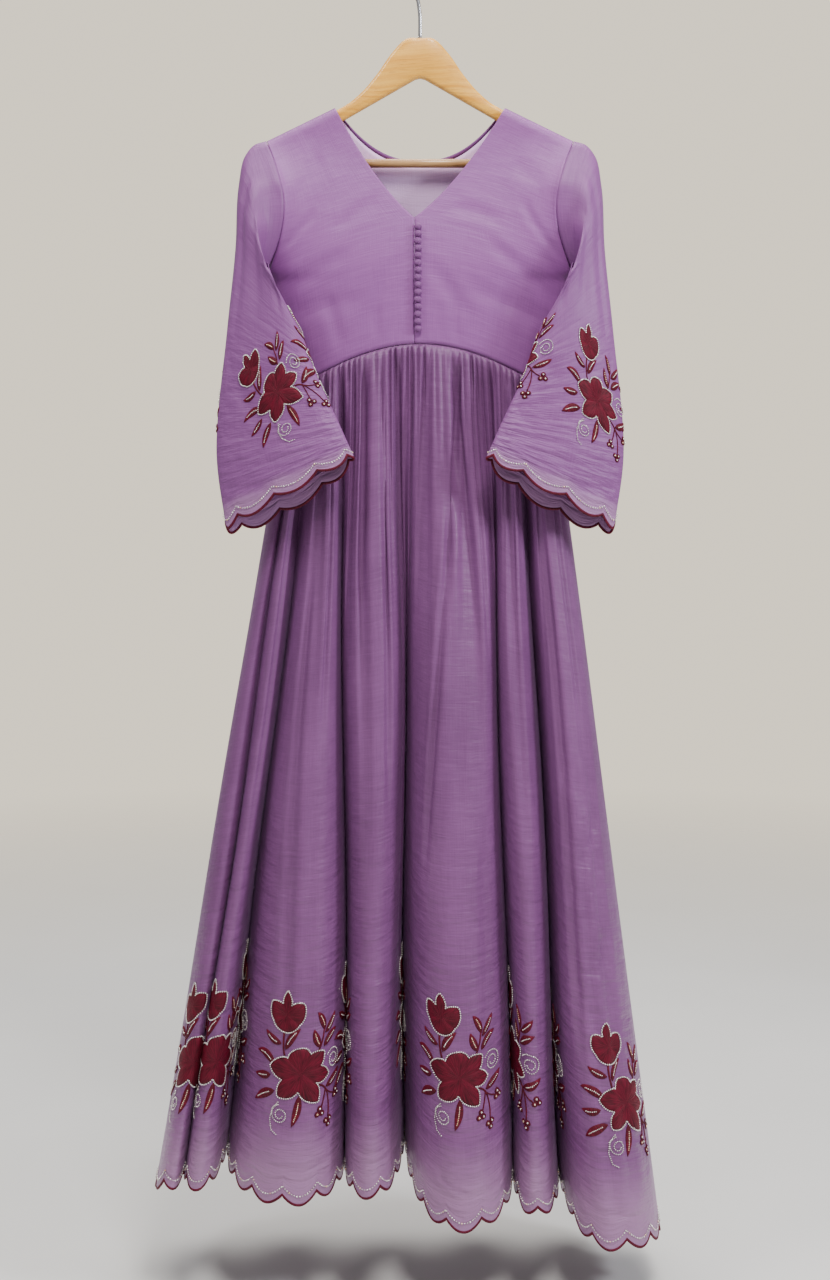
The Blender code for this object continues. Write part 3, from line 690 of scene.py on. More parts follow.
neck_share = NECK_X / TIP_X
back_shares = np.unique(np.concatenate([np.linspace(-1, 1, 97), [-neck_share, neck_share]]))
grid = pressed(back_grid(PANEL_ROWS, back_shares), -FORWARD, BACK_SIZE, BACK_CREASES)
panel = Cloth(grid, PANEL_ROWS, -FORWARD)
uv = metric_uv(*BACK_SIZE, PANEL_ROWS, len(back_shares))
back = wall("bodice_back_organza", panel, CLOTH, uv, bodice_cloth)
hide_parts("bodice_back")
print("three panels of the bodice")

# %% [markdown]
# ## Lining and neck binding
# Looking in through the V we see the pale lining of the back, pale partly in its own colour and
# partly by painted light for the light that shines through it from behind, and along the back
# neckline a narrow bias strip that binds the raw edge. The lining is the back panel again, a little
# narrower and 3 mm further in. The strip gets a rounded section, because a bias binding is a
# folded tube of cloth and catches the light along its middle. It is sewn to the back panel's edge.

# %% Inside the neck
LINING, LINING_INSET, LINING_TUCK = 0.0009, 0.0029, 0.0045
BINDING_END, LINING_START = 0.38, 0.44
SECOND_ROW = UNDERARM_SHARE * (1.0 - math.cos(math.pi * 0.2)) / 2.0


def inner_grid(rows, shares):
    narrower = np.array([1 - LINING_TUCK / TIP_X, 1.0, 1.0])
    whole = back_grid(rows, np.concatenate([[-1.0], shares, [1.0]]))
    return whole[:, 1:-1] * narrower + FORWARD * LINING_INSET


lining_rows = np.concatenate(
    [np.linspace(LINING_START * SECOND_ROW, 0.5, 22), np.linspace(0.5, 0.96, 16)[1:]]
)
grid = inner_grid(lining_rows, np.linspace(-0.53, 0.53, 49))
panel = Cloth(grid, lining_rows, FORWARD)
uv = metric_uv(0.20, 0.27, lining_rows, 49)
lining = wall("bodice_back_lining_cloth", panel, LINING, uv, lining_cloth_painted_backlight)
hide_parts("bodice_back_lining")

strip_rows = np.linspace(0.0, BINDING_END * SECOND_ROW, 7)
grid = inner_grid(strip_rows, np.linspace(-0.52, 0.52, 81))
grid += FORWARD * 0.0008 * np.sin(np.linspace(0, math.pi, 7))[:, None, None]
uv = metric_uv(0.23, 0.008, np.linspace(0, 1, 7), 81)
strip = Cloth(grid, strip_rows, FORWARD)
binding = wall("back_neck_binding_strip", strip, LINING, uv, binding_cloth)
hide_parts("back_neck_binding")
print("lining and binding")

# %% [markdown]
# ## The buttons
# Fifteen balls of organza close the front. A covered button is a dome with the cloth drawn in
# behind it, so we start from a sphere, flatten it, and pinch pleats into its back half. One
# button is modelled with its eye turned to the cloth, and each copy gets its own mesh.

# %% Covered buttons
BUTTONS, BUTTON_X, BUTTON_TOP_Z, BUTTON_PITCH = 15, -0.0025, -0.3245, 0.00883
BUTTON_RADIUS, BUTTON_FLATTEN = 0.0042, 0.85

bpy.ops.mesh.primitive_uv_sphere_add(segments=28, ring_count=14, radius=BUTTON_RADIUS)
model = bpy.context.object
bpy.ops.object.mode_set(mode="EDIT")
bpy.ops.transform.rotate(value=math.pi / 2, orient_axis="X", center_override=(0, 0, 0))
bpy.ops.transform.resize(value=(1.14, BUTTON_FLATTEN, 1.03), center_override=(0, 0, 0))
bpy.ops.object.mode_set(mode="OBJECT")
bpy.ops.object.shade_smooth()
dome = np.array([vertex.co for vertex in model.data.vertices])
turn = np.arctan2(dome[:, 2], dome[:, 0])
behind = smooth_step((dome[:, 1] + 0.0012) / 0.004)
dome[:, [0, 2]] *= (1 - behind * (0.06 + 0.05 * np.cos(11 * turn)))[:, None]
model.data.vertices.foreach_set("co", dome.astype(np.float32).ravel())
model.data.update()
for number in range(BUTTONS):
    mesh = model.data.copy()
    z = BUTTON_TOP_Z - number * BUTTON_PITCH
    y = -float(bodice_depth(BUTTON_X, z)) - BUTTON_FLATTEN * BUTTON_RADIUS - 0.0004
    wander = 0.0003 * math.sin(2.4 * number)
    button = bpy.data.objects.new(f"covered_button_{number + 1:02d}", mesh)
    spun = np.array([vertex.co for vertex in mesh.vertices]) + (BUTTON_X + wander, y, z)
    mesh.vertices.foreach_set("co", spun.astype(np.float32).ravel())
    bpy.context.scene.collection.objects.link(button)
    rides_for(button, button_cloth_painted_shade, f"button_{number + 1:02d}")
bpy.data.objects.remove(model)
print(f"{BUTTONS} covered buttons")

# %% [markdown]
# ## The sleeves' form
# A sleeve is a tube that leaves the armhole and widens to a bell at the elbow. Its outer and
# inner edges are tables of points, and between two rows of a table a smooth curve is used, so
# that no kink shows. Every ring is an ellipse between the two edges, and the first ones are
# pulled over to the armhole's own shape.

# %% The curves of a sleeve
SLEEVE_EDGES = np.array((
    # share, outer x, y, z, inner x, y, z
    (0.00, 0.187, 0.000, -0.2171, 0.187, 0.000, -0.385),
    (0.05, 0.202, -0.001, -0.2225, 0.195, -0.014, -0.389),
    (0.10, 0.213, -0.005, -0.238, 0.195, -0.038, -0.391),
    (0.18, 0.219, -0.012, -0.272, 0.179, -0.062, -0.396),
    (0.35, 0.222, -0.022, -0.350, 0.147, -0.068, -0.440),
    (0.55, 0.231, -0.036, -0.450, 0.126, -0.076, -0.495),
    (0.80, 0.243, -0.048, -0.590, 0.095, -0.086, -0.562),
    (1.00, 0.231, -0.055, -0.688, 0.077, -0.092, -0.602),
))
SLEEVE_HALF_DEPTH = np.array(
    ((0.0, 0.036), (0.10, 0.030), (0.18, 0.024), (0.35, 0.023), (1.0, 0.015))
)
SLEEVE_HEAD_REACH, CUFF_BACK_DROP, ARMHOLE_GAP = 0.35, 0.022, 0.0006


def curve_through(share, keys, values):
    """A smooth curve through a table, which doesn't overshoot between its rows."""
    slopes = np.gradient(values, keys, axis=0)
    step = np.diff(keys)[:, None]
    rise = np.diff(values, axis=0) / step
    flat = np.vstack([rise[:1], rise]) * np.vstack([rise, rise[-1:]]) <= 0
    slopes = np.where(flat, 0.0, slopes)
    i = int(np.clip(np.searchsorted(keys, share, side="right") - 1, 0, len(keys) - 2))
    t = (share - keys[i]) / (keys[i + 1] - keys[i])
    width = keys[i + 1] - keys[i]
    start = (1 + 2 * t) * (1 - t) ** 2 * values[i] + t * (1 - t) ** 2 * width * slopes[i]
    return start + t * t * (3 - 2 * t) * values[i + 1] + t * t * (t - 1) * width * slopes[i + 1]


def sleeve_ring(share, angles):
    edges = curve_through(share, SLEEVE_EDGES[:, 0], SLEEVE_EDGES[:, 1:])
    outer, inner = edges[:3], edges[3:]
    middle, reach = (outer + inner) / 2, (outer - inner) / 2
    along = unit(reach)
    forward = FORWARD - along * np.dot(FORWARD, along)
    forward = unit(forward)
    depth = float(np.interp(share, SLEEVE_HALF_DEPTH[:, 0], SLEEVE_HALF_DEPTH[:, 1]))
    sine = np.sin(angles)[:, None]
    ring = middle + reach * np.cos(angles)[:, None] + depth * forward * sine
    ring[:, 2] -= CUFF_BACK_DROP * share**2 * np.maximum(0.0, -sine[:, 0])
    return ring


def armhole_ring(angles):
    top, bottom = float(shoulder_z(TIP_X)), UNDERARM_Z
    z = (top + bottom) / 2 + (top - bottom) / 2 * np.cos(angles)
    x = side_x(z)
    depth = bodice_depth(x, z)
    y = np.where(np.sin(angles) >= 0, -depth, BACK_SHARE * depth)
    return np.stack([x, y, z], axis=1)


def sleeve_grid(side, levels, columns):
    angles = np.linspace(0, 2 * math.pi, columns + 1)[:-1]
    start = sleeve_ring(0.0, angles)
    rings = []
    for share in levels:
        leaving = max(0.0, 1.0 - share / SLEEVE_HEAD_REACH) ** 2
        ring = sleeve_ring(share, angles) + leaving * (armhole_ring(angles) - start)
        ring[:, 0] += ARMHOLE_GAP
        rings.append(ring)
    return np.array(rings) * np.array([side, 1.0, 1.0])


# %% [markdown]
# ## Scalloped edges
# Hem and cuffs end in scallops: round lobes with a sharp notch between them. Rather than bend
# the cloth, we slide its last rows up along the same surface, by nothing at the middle of a
# lobe and by the full depth at a notch. Since the surface is unchanged, whatever is laid on it
# stays in touch. A cord of maroon thread covers the raw edge, and a line of beads follows it.

# %% Scallops, their cord and their beads
SCALLOP_COLUMNS = 12  # grid columns in one lobe
CORD_WIDTH, CORD_HEIGHT = 0.0017, 0.0012


def notch_rise(columns, depth):
    """How far the edge is cut up: 0 in the middle of a lobe, and depth at a notch."""
    lobe = (columns / SCALLOP_COLUMNS) % 1.0
    return depth * (1 - np.sin(math.pi * lobe) ** 0.85)


def scalloped(cloth, depth, reach):
    """The same cloth, with its last rows slid up to a scalloped edge."""
    rows, count = cloth.grid.shape[:2]
    columns = np.broadcast_to(np.arange(count, dtype=float), (rows, count))
    up = (1 - cloth.levels[:, None]) * cloth.lengths[None]
    share = 1 - smooth_step(up / reach)
    points, _ = cloth.at(columns, cloth.rows_at(columns, up + share * notch_rise(columns, depth)))
    return Cloth(points, cloth.levels, cloth.outward, cloth.wrap)


def tube(name, path, wide, high, widths, material, closed):
    """A cord with an oval section along a path, as one closed mesh."""
    sides = 8
    turn = np.arange(sides) * 2 * math.pi / sides
    ring = widths[0] * np.cos(turn)[None, :, None] * wide[:, None]
    ring = ring + widths[1] * np.sin(turn)[None, :, None] * high[:, None]
    points = path[:, None] + ring
    count = len(path)
    r, c = (part.ravel() for part in np.mgrid[0 : count if closed else count - 1, 0:sides])
    one, other = r * sides, (r + 1) % count * sides
    faces = np.stack([one + c, other + c, other + (c + 1) % sides, one + (c + 1) % sides], 1)
    points = points.reshape(-1, 3)
    if not closed:
        quads = np.array([[0, 1, 2, 3], [0, 3, 4, 7], [4, 5, 6, 7]])
        ends = [quads, quads[:, ::-1] + (count - 1) * sides]
        faces = np.concatenate([faces, *ends])
    length = np.repeat(np.arange(count) * 0.0015, sides)
    thread = np.column_stack([length, np.tile(turn / 1000, count)])
    return close_mesh(name, points, faces, thread[faces.ravel()], material)


def edge_cord(name, cloth, depth, samples):
    """The satin cord round a scalloped edge."""
    count = cloth.grid.shape[1]
    columns = np.linspace(0, count if cloth.wrap else count - 1, samples, endpoint=not cloth.wrap)
    path, normal = cloth.at(columns, cloth.rows_at(columns, notch_rise(columns, depth)), -CLOTH / 2)
    if cloth.wrap:
        along = np.roll(path, -1, axis=0) - np.roll(path, 1, axis=0)
    else:
        along = np.gradient(path, axis=0)
    across = unit(np.cross(along, normal))
    return tube(name, path, across, normal, (CORD_WIDTH, CORD_HEIGHT), maroon_cord, cloth.wrap)


# %% [markdown]
# ## Beads
# A bead is 2 mm across and there are thousands, so each is an icosahedron of twenty faces,
# shaded smooth. All the beads of one panel are one mesh: a list of centres and sizes, and the
# same little solid copied to each with array arithmetic.

# %% Strings of beads
bpy.ops.mesh.primitive_ico_sphere_add(subdivisions=1, radius=1.0)
bead_model = bpy.context.object
BEAD_POINTS = np.array([vertex.co for vertex in bead_model.data.vertices])
BEAD_FACES = np.array([face.vertices for face in bead_model.data.polygons])
bpy.data.objects.remove(bead_model)


def beads(name, centres, radii, material):
    points = centres[:, None] + radii[:, None, None] * BEAD_POINTS[None]
    start = np.arange(len(centres))[:, None, None] * len(BEAD_POINTS)
    faces = (BEAD_FACES[None] + start).reshape(-1, 3)
    return close_mesh(name, points.reshape(-1, 3), faces, None, material)


def edge_beads(cloth, depth, above, pitch):
    """Centres and sizes of the line of beads that follows a scalloped edge."""
    count = cloth.grid.shape[1]
    dense = np.linspace(0.2, count - 1.2, 12 * count)
    path, _ = cloth.at(dense, cloth.rows_at(dense, notch_rise(dense, depth) + above), 0.0004)
    run = run_along(path)
    columns = np.interp(np.arange(0, run[-1], pitch), run, dense)
    rows = cloth.rows_at(columns, notch_rise(columns, depth) + above)
    centres, _ = cloth.at(columns, rows, 0.0007)
    return centres, 0.00105 + 0.0002 * np.sin(np.arange(len(centres)) * 1.7)


# %% [markdown]
# ## One flower spray
# The embroidery is a spray: a six-petalled flower, a tulip bud above it, leaves with a beaded
# vein, three bunches of berries on thin stems and two curls of beads. It is drawn flat, in
# millimetres from the flower's middle, by a few shape functions, and every spray on the gown
# is this drawing laid on the cloth. Petals come from one formula in polar coordinates: a
# length for each petal, a notch between neighbours, and an exponent that makes a tip round or
# pointed.


# %% Shapes for cut-out velvet
class Spray:
    """A flat drawing: patches of velvet, and beads on top of it."""

    def __init__(self):
        self.points, self.threads, self.faces, self.beads = [], [], [], []
        self.count = 0

    def keep(self, points, threads, faces):
        self.points.append(np.asarray(points, float))
        self.threads.append(np.asarray(threads, float))
        self.faces += [[corner + self.count for corner in face] for face in faces]
        self.count += len(points)

    def string(self, path, pitch, radius, gold=False):
        """Beads at even steps along a path."""
        path = np.asarray(path, float)
        run = run_along(path)
        steps = np.arange(pitch / 2, run[-1], pitch)
        for step in steps:
            spot = [np.interp(step, run, path[:, i]) for i in (0, 1)]
            self.beads.append((*spot, radius, gold))

    def blossom(self, centre, petals, puff):
        """A patch with petals (degrees, length, tip, notch after it), edged with beads."""
        directions = np.array([petal[0] for petal in petals], float)
        theta = np.linspace(directions[0], directions[0] + 360, 121)[:-1]
        following = np.append(directions[1:], directions[0] + 360)
        radius, dip = np.zeros_like(theta), np.zeros_like(theta)
        for number, (one, other) in enumerate(zip(directions, following)):
            here = (theta >= one) & (theta < other)
            half = (other - one) / 2
            first = theta < one + half
            length = np.where(first, petals[number][1], petals[(number + 1) % len(petals)][1])
            tip = np.where(first, petals[number][2], petals[(number + 1) % len(petals)][2])
            u = np.clip(np.where(first, theta - one, other - theta) / half, 0, 1)
            notch = petals[number][3]
            radius += here * (notch + (length - notch) * (1 - u**tip) ** 0.75)
            dip += here * np.exp(-(((1 - u) / 0.16) ** 2))
        away = np.stack([np.cos(np.radians(theta)), np.sin(np.radians(theta))], axis=1)
        points = []
        inner_rings = ((0.93, 1), (0.72, 1.15), (0.48, 1.15), (0.24, 1), (0.1, 1))
        rings_at = ((1, -0.6), (1, 0.25), *inner_rings)
        for share, lift in rings_at:
            ring = np.array(centre) + away * (radius * share)[:, None]
            high = lift * puff if share < 1 else lift
            sunk = high - (0.45 * puff * dip if 0.3 < share < 0.95 else 0.0)
            points.append(np.column_stack([ring, np.broadcast_to(sunk, len(ring))]))
        rings, around = len(points), len(theta)
        faces = []
        for ring in range(rings - 1):
            for i in range(around):
                j = (i + 1) % around
                faces.append([ring * around + i, ring * around + j, (ring + 1) * around + j])
                faces.append([ring * around + i, (ring + 1) * around + j, (ring + 1) * around + i])
        middle = rings * around
        for i in range(around):
            j = (i + 1) % around
            faces.append([(rings - 1) * around + i, (rings - 1) * around + j, middle])
            faces.append([j, i, middle + 1])
        ends = [[*centre, puff * 0.9], [*centre, -0.6]]
        spread = np.tile(np.radians(theta) * 25, rings)
        along = np.concatenate([radius * share for share, _ in rings_at])
        threads = np.vstack([np.column_stack([spread, along]), [[0, 0], [0, 0]]])
        self.keep(np.vstack([*points, ends]), threads, faces)
        outline = np.array(centre) + away * (radius + 0.7)[:, None]
        self.string(np.vstack([outline, outline[:1]]), 2.5, 1.05)

    def ribbon(self, path, halves, puff):
        """A strip of velvet along a path, pointed or blunt as its half widths say."""
        path = np.asarray(path, float)
        along = np.gradient(path, axis=0)
        side = np.stack([-along[:, 1], along[:, 0]], axis=1)
        side = unit(side) * np.asarray(halves)[:, None]
        across = ((-1.0, -0.3), (-0.75, puff), (0.0, puff * 1.1), (0.75, puff), (1.0, -0.3))
        lines = [np.column_stack([path + side * a, np.full(len(path), lift)]) for a, lift in across]
        points = np.stack(lines, axis=1).reshape(-1, 3)
        wide = len(across)
        faces = []
        for row in range(len(path) - 1):
            for column in range(wide):
                beside = (column + 1) % wide
                a, b = row * wide + column, row * wide + beside
                faces.append([a, a + wide, b + wide])
                faces.append([a, b + wide, b])
        last = (len(path) - 1) * wide
        for k in (1, 2, 3):
            faces.append([0, k, k + 1])
            faces.append([last, last + k + 1, last + k])
        run = run_along(path)
        threads = np.column_stack([np.repeat(run, wide), np.tile(np.arange(wide), len(path))])
        self.keep(points, threads, faces)

    def leaf(self, base, tip, wide, bow, gold=False):
        base, tip = np.array(base, float), np.array(tip, float)
        t = np.linspace(0, 1, 11)
        line = tip - base
        bent = np.array([-line[1], line[0]]) * bow
        path = base + t[:, None] * line + (4 * t * (1 - t))[:, None] * bent
        self.ribbon(path, wide * np.sin(math.pi * t**0.85) ** 0.75 + 0.12, 1.0)
        self.string(path[2:9], 2.1, 0.85, gold)

    def stem(self, points, half=0.85):
        """A thin stem through three points, as a soft curve."""
        a, b, c = (np.array(point, float) for point in points)
        t = np.linspace(0, 1, 9)[:, None]
        self.ribbon((1 - t) ** 2 * a + 2 * t * (1 - t) * b + t**2 * c, np.full(9, half), 0.9)

    def berries(self, centre, spread, turn):
        for k in range(3):
            angle = math.radians(turn + 120 * k)
            spot = (centre[0] + spread * math.cos(angle), centre[1] + spread * math.sin(angle))
            t = np.linspace(-1, 1, 7)
            path = np.column_stack([spot[0] + 3.6 * t, np.full(7, spot[1])])
            self.ribbon(path, 3.6 * np.sqrt(1 - t**2) + 0.1, 1.2)
            self.beads.append((*spot, 1.45, k == 1))

    def curl(self, centre, start, turns, outer, inner, pitch=2.3):
        """A spiral of beads, from its outer end to its eye."""
        t = np.linspace(0, 1, 60)
        angle = np.radians(start) + turns * 2 * math.pi * t
        radius = outer + (inner - outer) * t**0.7
        path = np.array(centre) + np.stack([radius * np.cos(angle), radius * np.sin(angle)], 1)
        self.string(path, pitch, 0.85)


# %% Drawing the spray
FLOWER = (
    (-10, 38, 1.02, 24),
    (36, 36, 1.00, 23),
    (90, 29, 2.3, 23),
    (172, 39, 1.00, 22),
    (226, 38, 1.05, 19),
    (302, 41, 1.00, 22),
)
BUD = ((32, 25, 1.0, 12), (91, 27, 1.0, 12), (148, 24, 1.0, 19), (262, 20, 2.2, 19))

spray = Spray()
spray.stem([(-21, 20), (-25, 32), (-23, 50)], 1.3)
spray.stem([(18, 20), (27, 30), (29, 47)], 1.0)
spray.stem([(22, -16), (30, -17), (35, -26)], 1.1)
spray.stem([(33, -23), (31, -34), (27, -44)])
spray.stem([(34, -24), (41, -38), (39, -57)])
spray.stem([(35, -25), (41, -31), (48, -33)])
spray.blossom((-20, 67), BUD, 1.2)
spray.blossom((0, 0), FLOWER, 1.5)
LEAVES = (
    # base, tip, half width, bow, gold vein
    ((-26, 33), (-49, 44), 5.0, 0.08, False),
    ((-20, 27), (-2, 52), 5.2, 0.08, False),
    ((-33, 7), (-62, 17), 5.8, -0.16, False),
    ((-38, -5), (-63, -10), 5.0, 0.05, False),
    ((-31, -22), (-60, -40), 5.6, -0.06, False),
    ((-1, -25), (-8, -61), 5.0, 0.05, True),
    ((30, 46), (19, 68), 5.0, -0.08, True),
    ((31, 42), (50, 61), 4.8, -0.06, False),
    ((24, 27), (15, 49), 5.1, 0.06, True),
    ((29, 27), (52, 42), 5.2, 0.06, False),
    ((34, -21), (59, -7), 5.2, -0.07, False),
)
for base, tip, wide, bow, gold in LEAVES:
    spray.leaf(base, tip, wide, bow, gold)
spray.berries((25, -48), 3.8, 90)
spray.berries((38.5, -62), 3.8, 40)
spray.berries((53, -34), 3.6, 100)
spray.curl((46, 8), 150, -1.9, 14, 3.5)
spray.curl((-22, -48), 95, 1.7, 12, 3.5)
spray.string([(-24, -33), (-32, -42), (-34, -55), (-31, -67), (-23, -72)], 2.3, 0.85)
spray_points = np.vstack(spray.points) / 1000
spray_threads = np.vstack(spray.threads) / 1000
spray_faces = np.array(spray.faces)
spray_beads = np.array([bead[:3] for bead in spray.beads]) / 1000
spray_gold = np.array([bead[3] for bead in spray.beads], bool)
print(f"one spray: {len(spray_faces)} triangles of velvet, {len(spray_beads)} beads")


# %% Laying sprays on a panel
LEAST_RELIEF = 0.85  # beads and velvet don't get flatter than this with the spray's scale
GOLD_EVERY = 9  # in a line of beads at an edge


def drawn(flat, scale, flip, turn):
    """The drawing turned anticlockwise, scaled, and mirrored where flip is -1."""
    c, s = math.cos(math.radians(turn)), math.sin(math.radians(turn))
    return (flat @ np.array([[c, s], [-s, c]]) * scale * (flip, 1)).T


def lay_sprays(name, cloth, places, edge_line):
    """Velvet and beads for (column, up, scale, flip, turn) places; returns the pieces made."""
    points, faces, centres, radii, golden = [], [], [], [], []
    start = 0
    for column, up, scale, flip, turn in places:
        relief = max(scale, LEAST_RELIEF)
        a, b = drawn(spray_points[:, :2], scale, flip, turn)
        placed, _ = cloth.placed(column, up, a, b, spray_points[:, 2] * relief)
        points.append(placed)
        faces.append((spray_faces if flip > 0 else spray_faces[:, ::-1]) + start)
        start += len(placed)
        a, b = drawn(spray_beads[:, :2], scale, flip, turn)
        placed, _ = cloth.placed(column, up, a, b, np.full(len(a), 0.0010 * relief))
        centres.append(placed)
        radii.append(spray_beads[:, 2] * relief)
        golden.append(spray_gold)
    line_centres, line_radii = edge_line
    centres.append(line_centres)
    radii.append(line_radii)
    golden.append(np.arange(len(line_radii)) % GOLD_EVERY == GOLD_EVERY // 2)
    faces = np.vstack(faces)
    threads = np.tile(spray_threads, (len(places), 1))[faces.ravel()]
    flowers = close_mesh(name + "_flowers", np.vstack(points), faces, threads, maroon_velvet)
    centres, radii, golden = np.vstack(centres), np.concatenate(radii), np.concatenate(golden)
    silver = beads(name + "_silver_beads", centres[~golden], radii[~golden], silver_beads)
    gold = beads(name + "_gold_beads", centres[golden], radii[golden], gold_beads)
    return [flowers, silver, gold]


# %% [markdown]
# ## Sewing the sleeves
# The sleeves get long soft folds from the shoulder to the elbow, smaller creases where they
# bend round the arm, and nine scallops at the cuff. The spray is laid a little smaller than on
# the hem, three times round each sleeve: on the front, behind the inner edge and on the back.
# On the second sleeve the columns run the other way, so there the drawing is mirrored to read
# the same.

# %% Sleeves with their cuffs
SLEEVE_SCALLOPS, CUFF_SCALLOP_DEPTH, CUFF_WIDTH = 9, 0.010, 0.40
SLEEVE_SPRAY_SCALE = 0.78
SLEEVE_CREASES = (
    # s: 0 at the outer edge, 0.25 front, 0.5 inner edge, 0.75 back
    (0.16, 0.10, 0.12, 0.52, 12, 1.8),
    (0.26, 0.08, 0.22, 0.45, 14, 1.6),
    (0.40, 0.18, 0.33, 0.40, 9, 1.4),
    (0.08, 0.55, 0.24, 0.66, 11, 1.2),
    (0.44, 0.45, 0.30, 0.58, 10, 1.3),
    (0.46, 0.62, 0.33, 0.70, 8, 1.0),
    (0.10, 0.82, 0.26, 0.86, 8, 0.9),
    (0.42, 0.80, 0.30, 0.90, 8, 0.9),
    (0.64, 0.12, 0.70, 0.50, 13, 1.7),
    (0.78, 0.10, 0.82, 0.44, 12, 1.6),
    (0.90, 0.40, 0.76, 0.62, 10, 1.3),
    (0.60, 0.58, 0.74, 0.72, 11, 1.2),
    (0.86, 0.80, 0.72, 0.86, 9, 1.0),
)
sleeve_columns = SLEEVE_SCALLOPS * SCALLOP_COLUMNS
sleeve_levels = np.concatenate(
    [np.linspace(0, 0.12, 14), np.linspace(0.12, 0.88, 40)[1:], np.linspace(0.88, 1, 18)[1:]]
)
SLEEVE_SPRAYS = {
    # share of the way round, height above the cuff, turn in degrees
    -1: ((0.28, 0.118, 28), (0.63, 0.150, 0), (0.84, 0.145, 0)),
    1: ((0.17, 0.130, 0), (0.59, 0.150, 0), (0.84, 0.145, 0)),
}
for side, hand in ((-1, "right"), (1, "left")):
    name = "sleeve_" + hand
    grid = sleeve_grid(side, sleeve_levels, sleeve_columns)
    grid = pressed(grid, None, (CUFF_WIDTH, 0.44), SLEEVE_CREASES, wrap=True)
    smooth = Cloth(grid, sleeve_levels, None, wrap=True)
    cut = scalloped(smooth, CUFF_SCALLOP_DEPTH, reach=0.030)
    around = CUFF_WIDTH * sleeve_columns / (sleeve_columns - 1)
    uv = metric_uv(around, SLEEVE_LENGTH, sleeve_levels, sleeve_columns)
    piece = wall(name + "_organza", cut, CLOTH, uv, sleeve_cloth)
    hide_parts(name)
    cord = edge_cord(name + "_cuff_cord", smooth, CUFF_SCALLOP_DEPTH, SLEEVE_SCALLOPS * 24)
    line = edge_beads(smooth, CUFF_SCALLOP_DEPTH, above=0.0095, pitch=0.0031)
    places = [
        (share * sleeve_columns, up, SLEEVE_SPRAY_SCALE, -side, turn)
        for share, up, turn in SLEEVE_SPRAYS[side]
    ]
    trims = lay_sprays(name, smooth, places, line)
    print(name, f"{smooth.widths[-1] * sleeve_columns:.3f} m round the cuff, {cut.area:.3f} m2")

# %% [markdown]
# ## The skirt's form
# The skirt is cloth gathered into the waist seam, and it hangs in broad round folds with
# narrow deep recesses between them. A cloth simulation would find folds of its own, and not
# these, so they are listed instead: each line of the tables is the top of a ridge or the
# bottom of a recess, with its place at the waist and at the hem. Columns are spaced evenly
# along the hem's real length of cloth, so that scallops and flowers keep their size from the
# front of a fold to deep inside it.

# %% The folds
FRONT_FOLDS = (
    # kind, waist x, hem x, hem y, hem z
    ("side", -0.162, -0.321, 0.000, -1.489),
    ("ridge", -0.150, -0.292, -0.090, -1.464),
    ("recess", -0.143, -0.280, -0.050, -1.460),
    ("ridge", -0.135, -0.262, -0.100, -1.461),
    ("recess", -0.126, -0.238, 0.010, -1.448),
    ("ridge", -0.108, -0.150, -0.125, -1.470),
    ("recess", -0.094, -0.089, -0.020, -1.458),
    ("ridge", -0.060, -0.057, -0.115, -1.466),
    ("recess", -0.018, -0.020, 0.025, -1.443),
    ("ridge", 0.024, 0.045, -0.130, -1.499),
    ("recess", 0.083, 0.112, -0.020, -1.468),
    ("ridge", 0.103, 0.137, -0.110, -1.489),
    ("recess", 0.122, 0.171, 0.010, -1.480),
    ("ridge", 0.142, 0.221, -0.130, -1.520),
    ("side", 0.162, 0.290, -0.010, -1.534),
)
BACK_FOLDS = (
    ("side", -0.162, -0.321, 0.000, -1.489),
    ("ridge", -0.140, -0.270, 0.120, -1.478),
    ("recess", -0.115, -0.215, 0.055, -1.470),
    ("ridge", -0.085, -0.155, 0.145, -1.480),
    ("recess", -0.055, -0.100, 0.050, -1.470),
    ("ridge", -0.020, -0.040, 0.140, -1.482),
    ("recess", 0.010, 0.015, 0.060, -1.474),
    ("ridge", 0.045, 0.070, 0.150, -1.490),
    ("recess", 0.075, 0.125, 0.050, -1.482),
    ("ridge", 0.110, 0.185, 0.140, -1.505),
    ("recess", 0.135, 0.230, 0.060, -1.505),
    ("ridge", 0.150, 0.265, 0.100, -1.520),
    ("side", 0.162, 0.290, -0.010, -1.534),
)
FOLD_GROWTH, FOLD_SQUARENESS = 0.85, 0.75
FOLD_TIGHT_WAIST, FOLD_TIGHT_HEM = 0.30, 0.96
WAIST_GAP = 0.0010


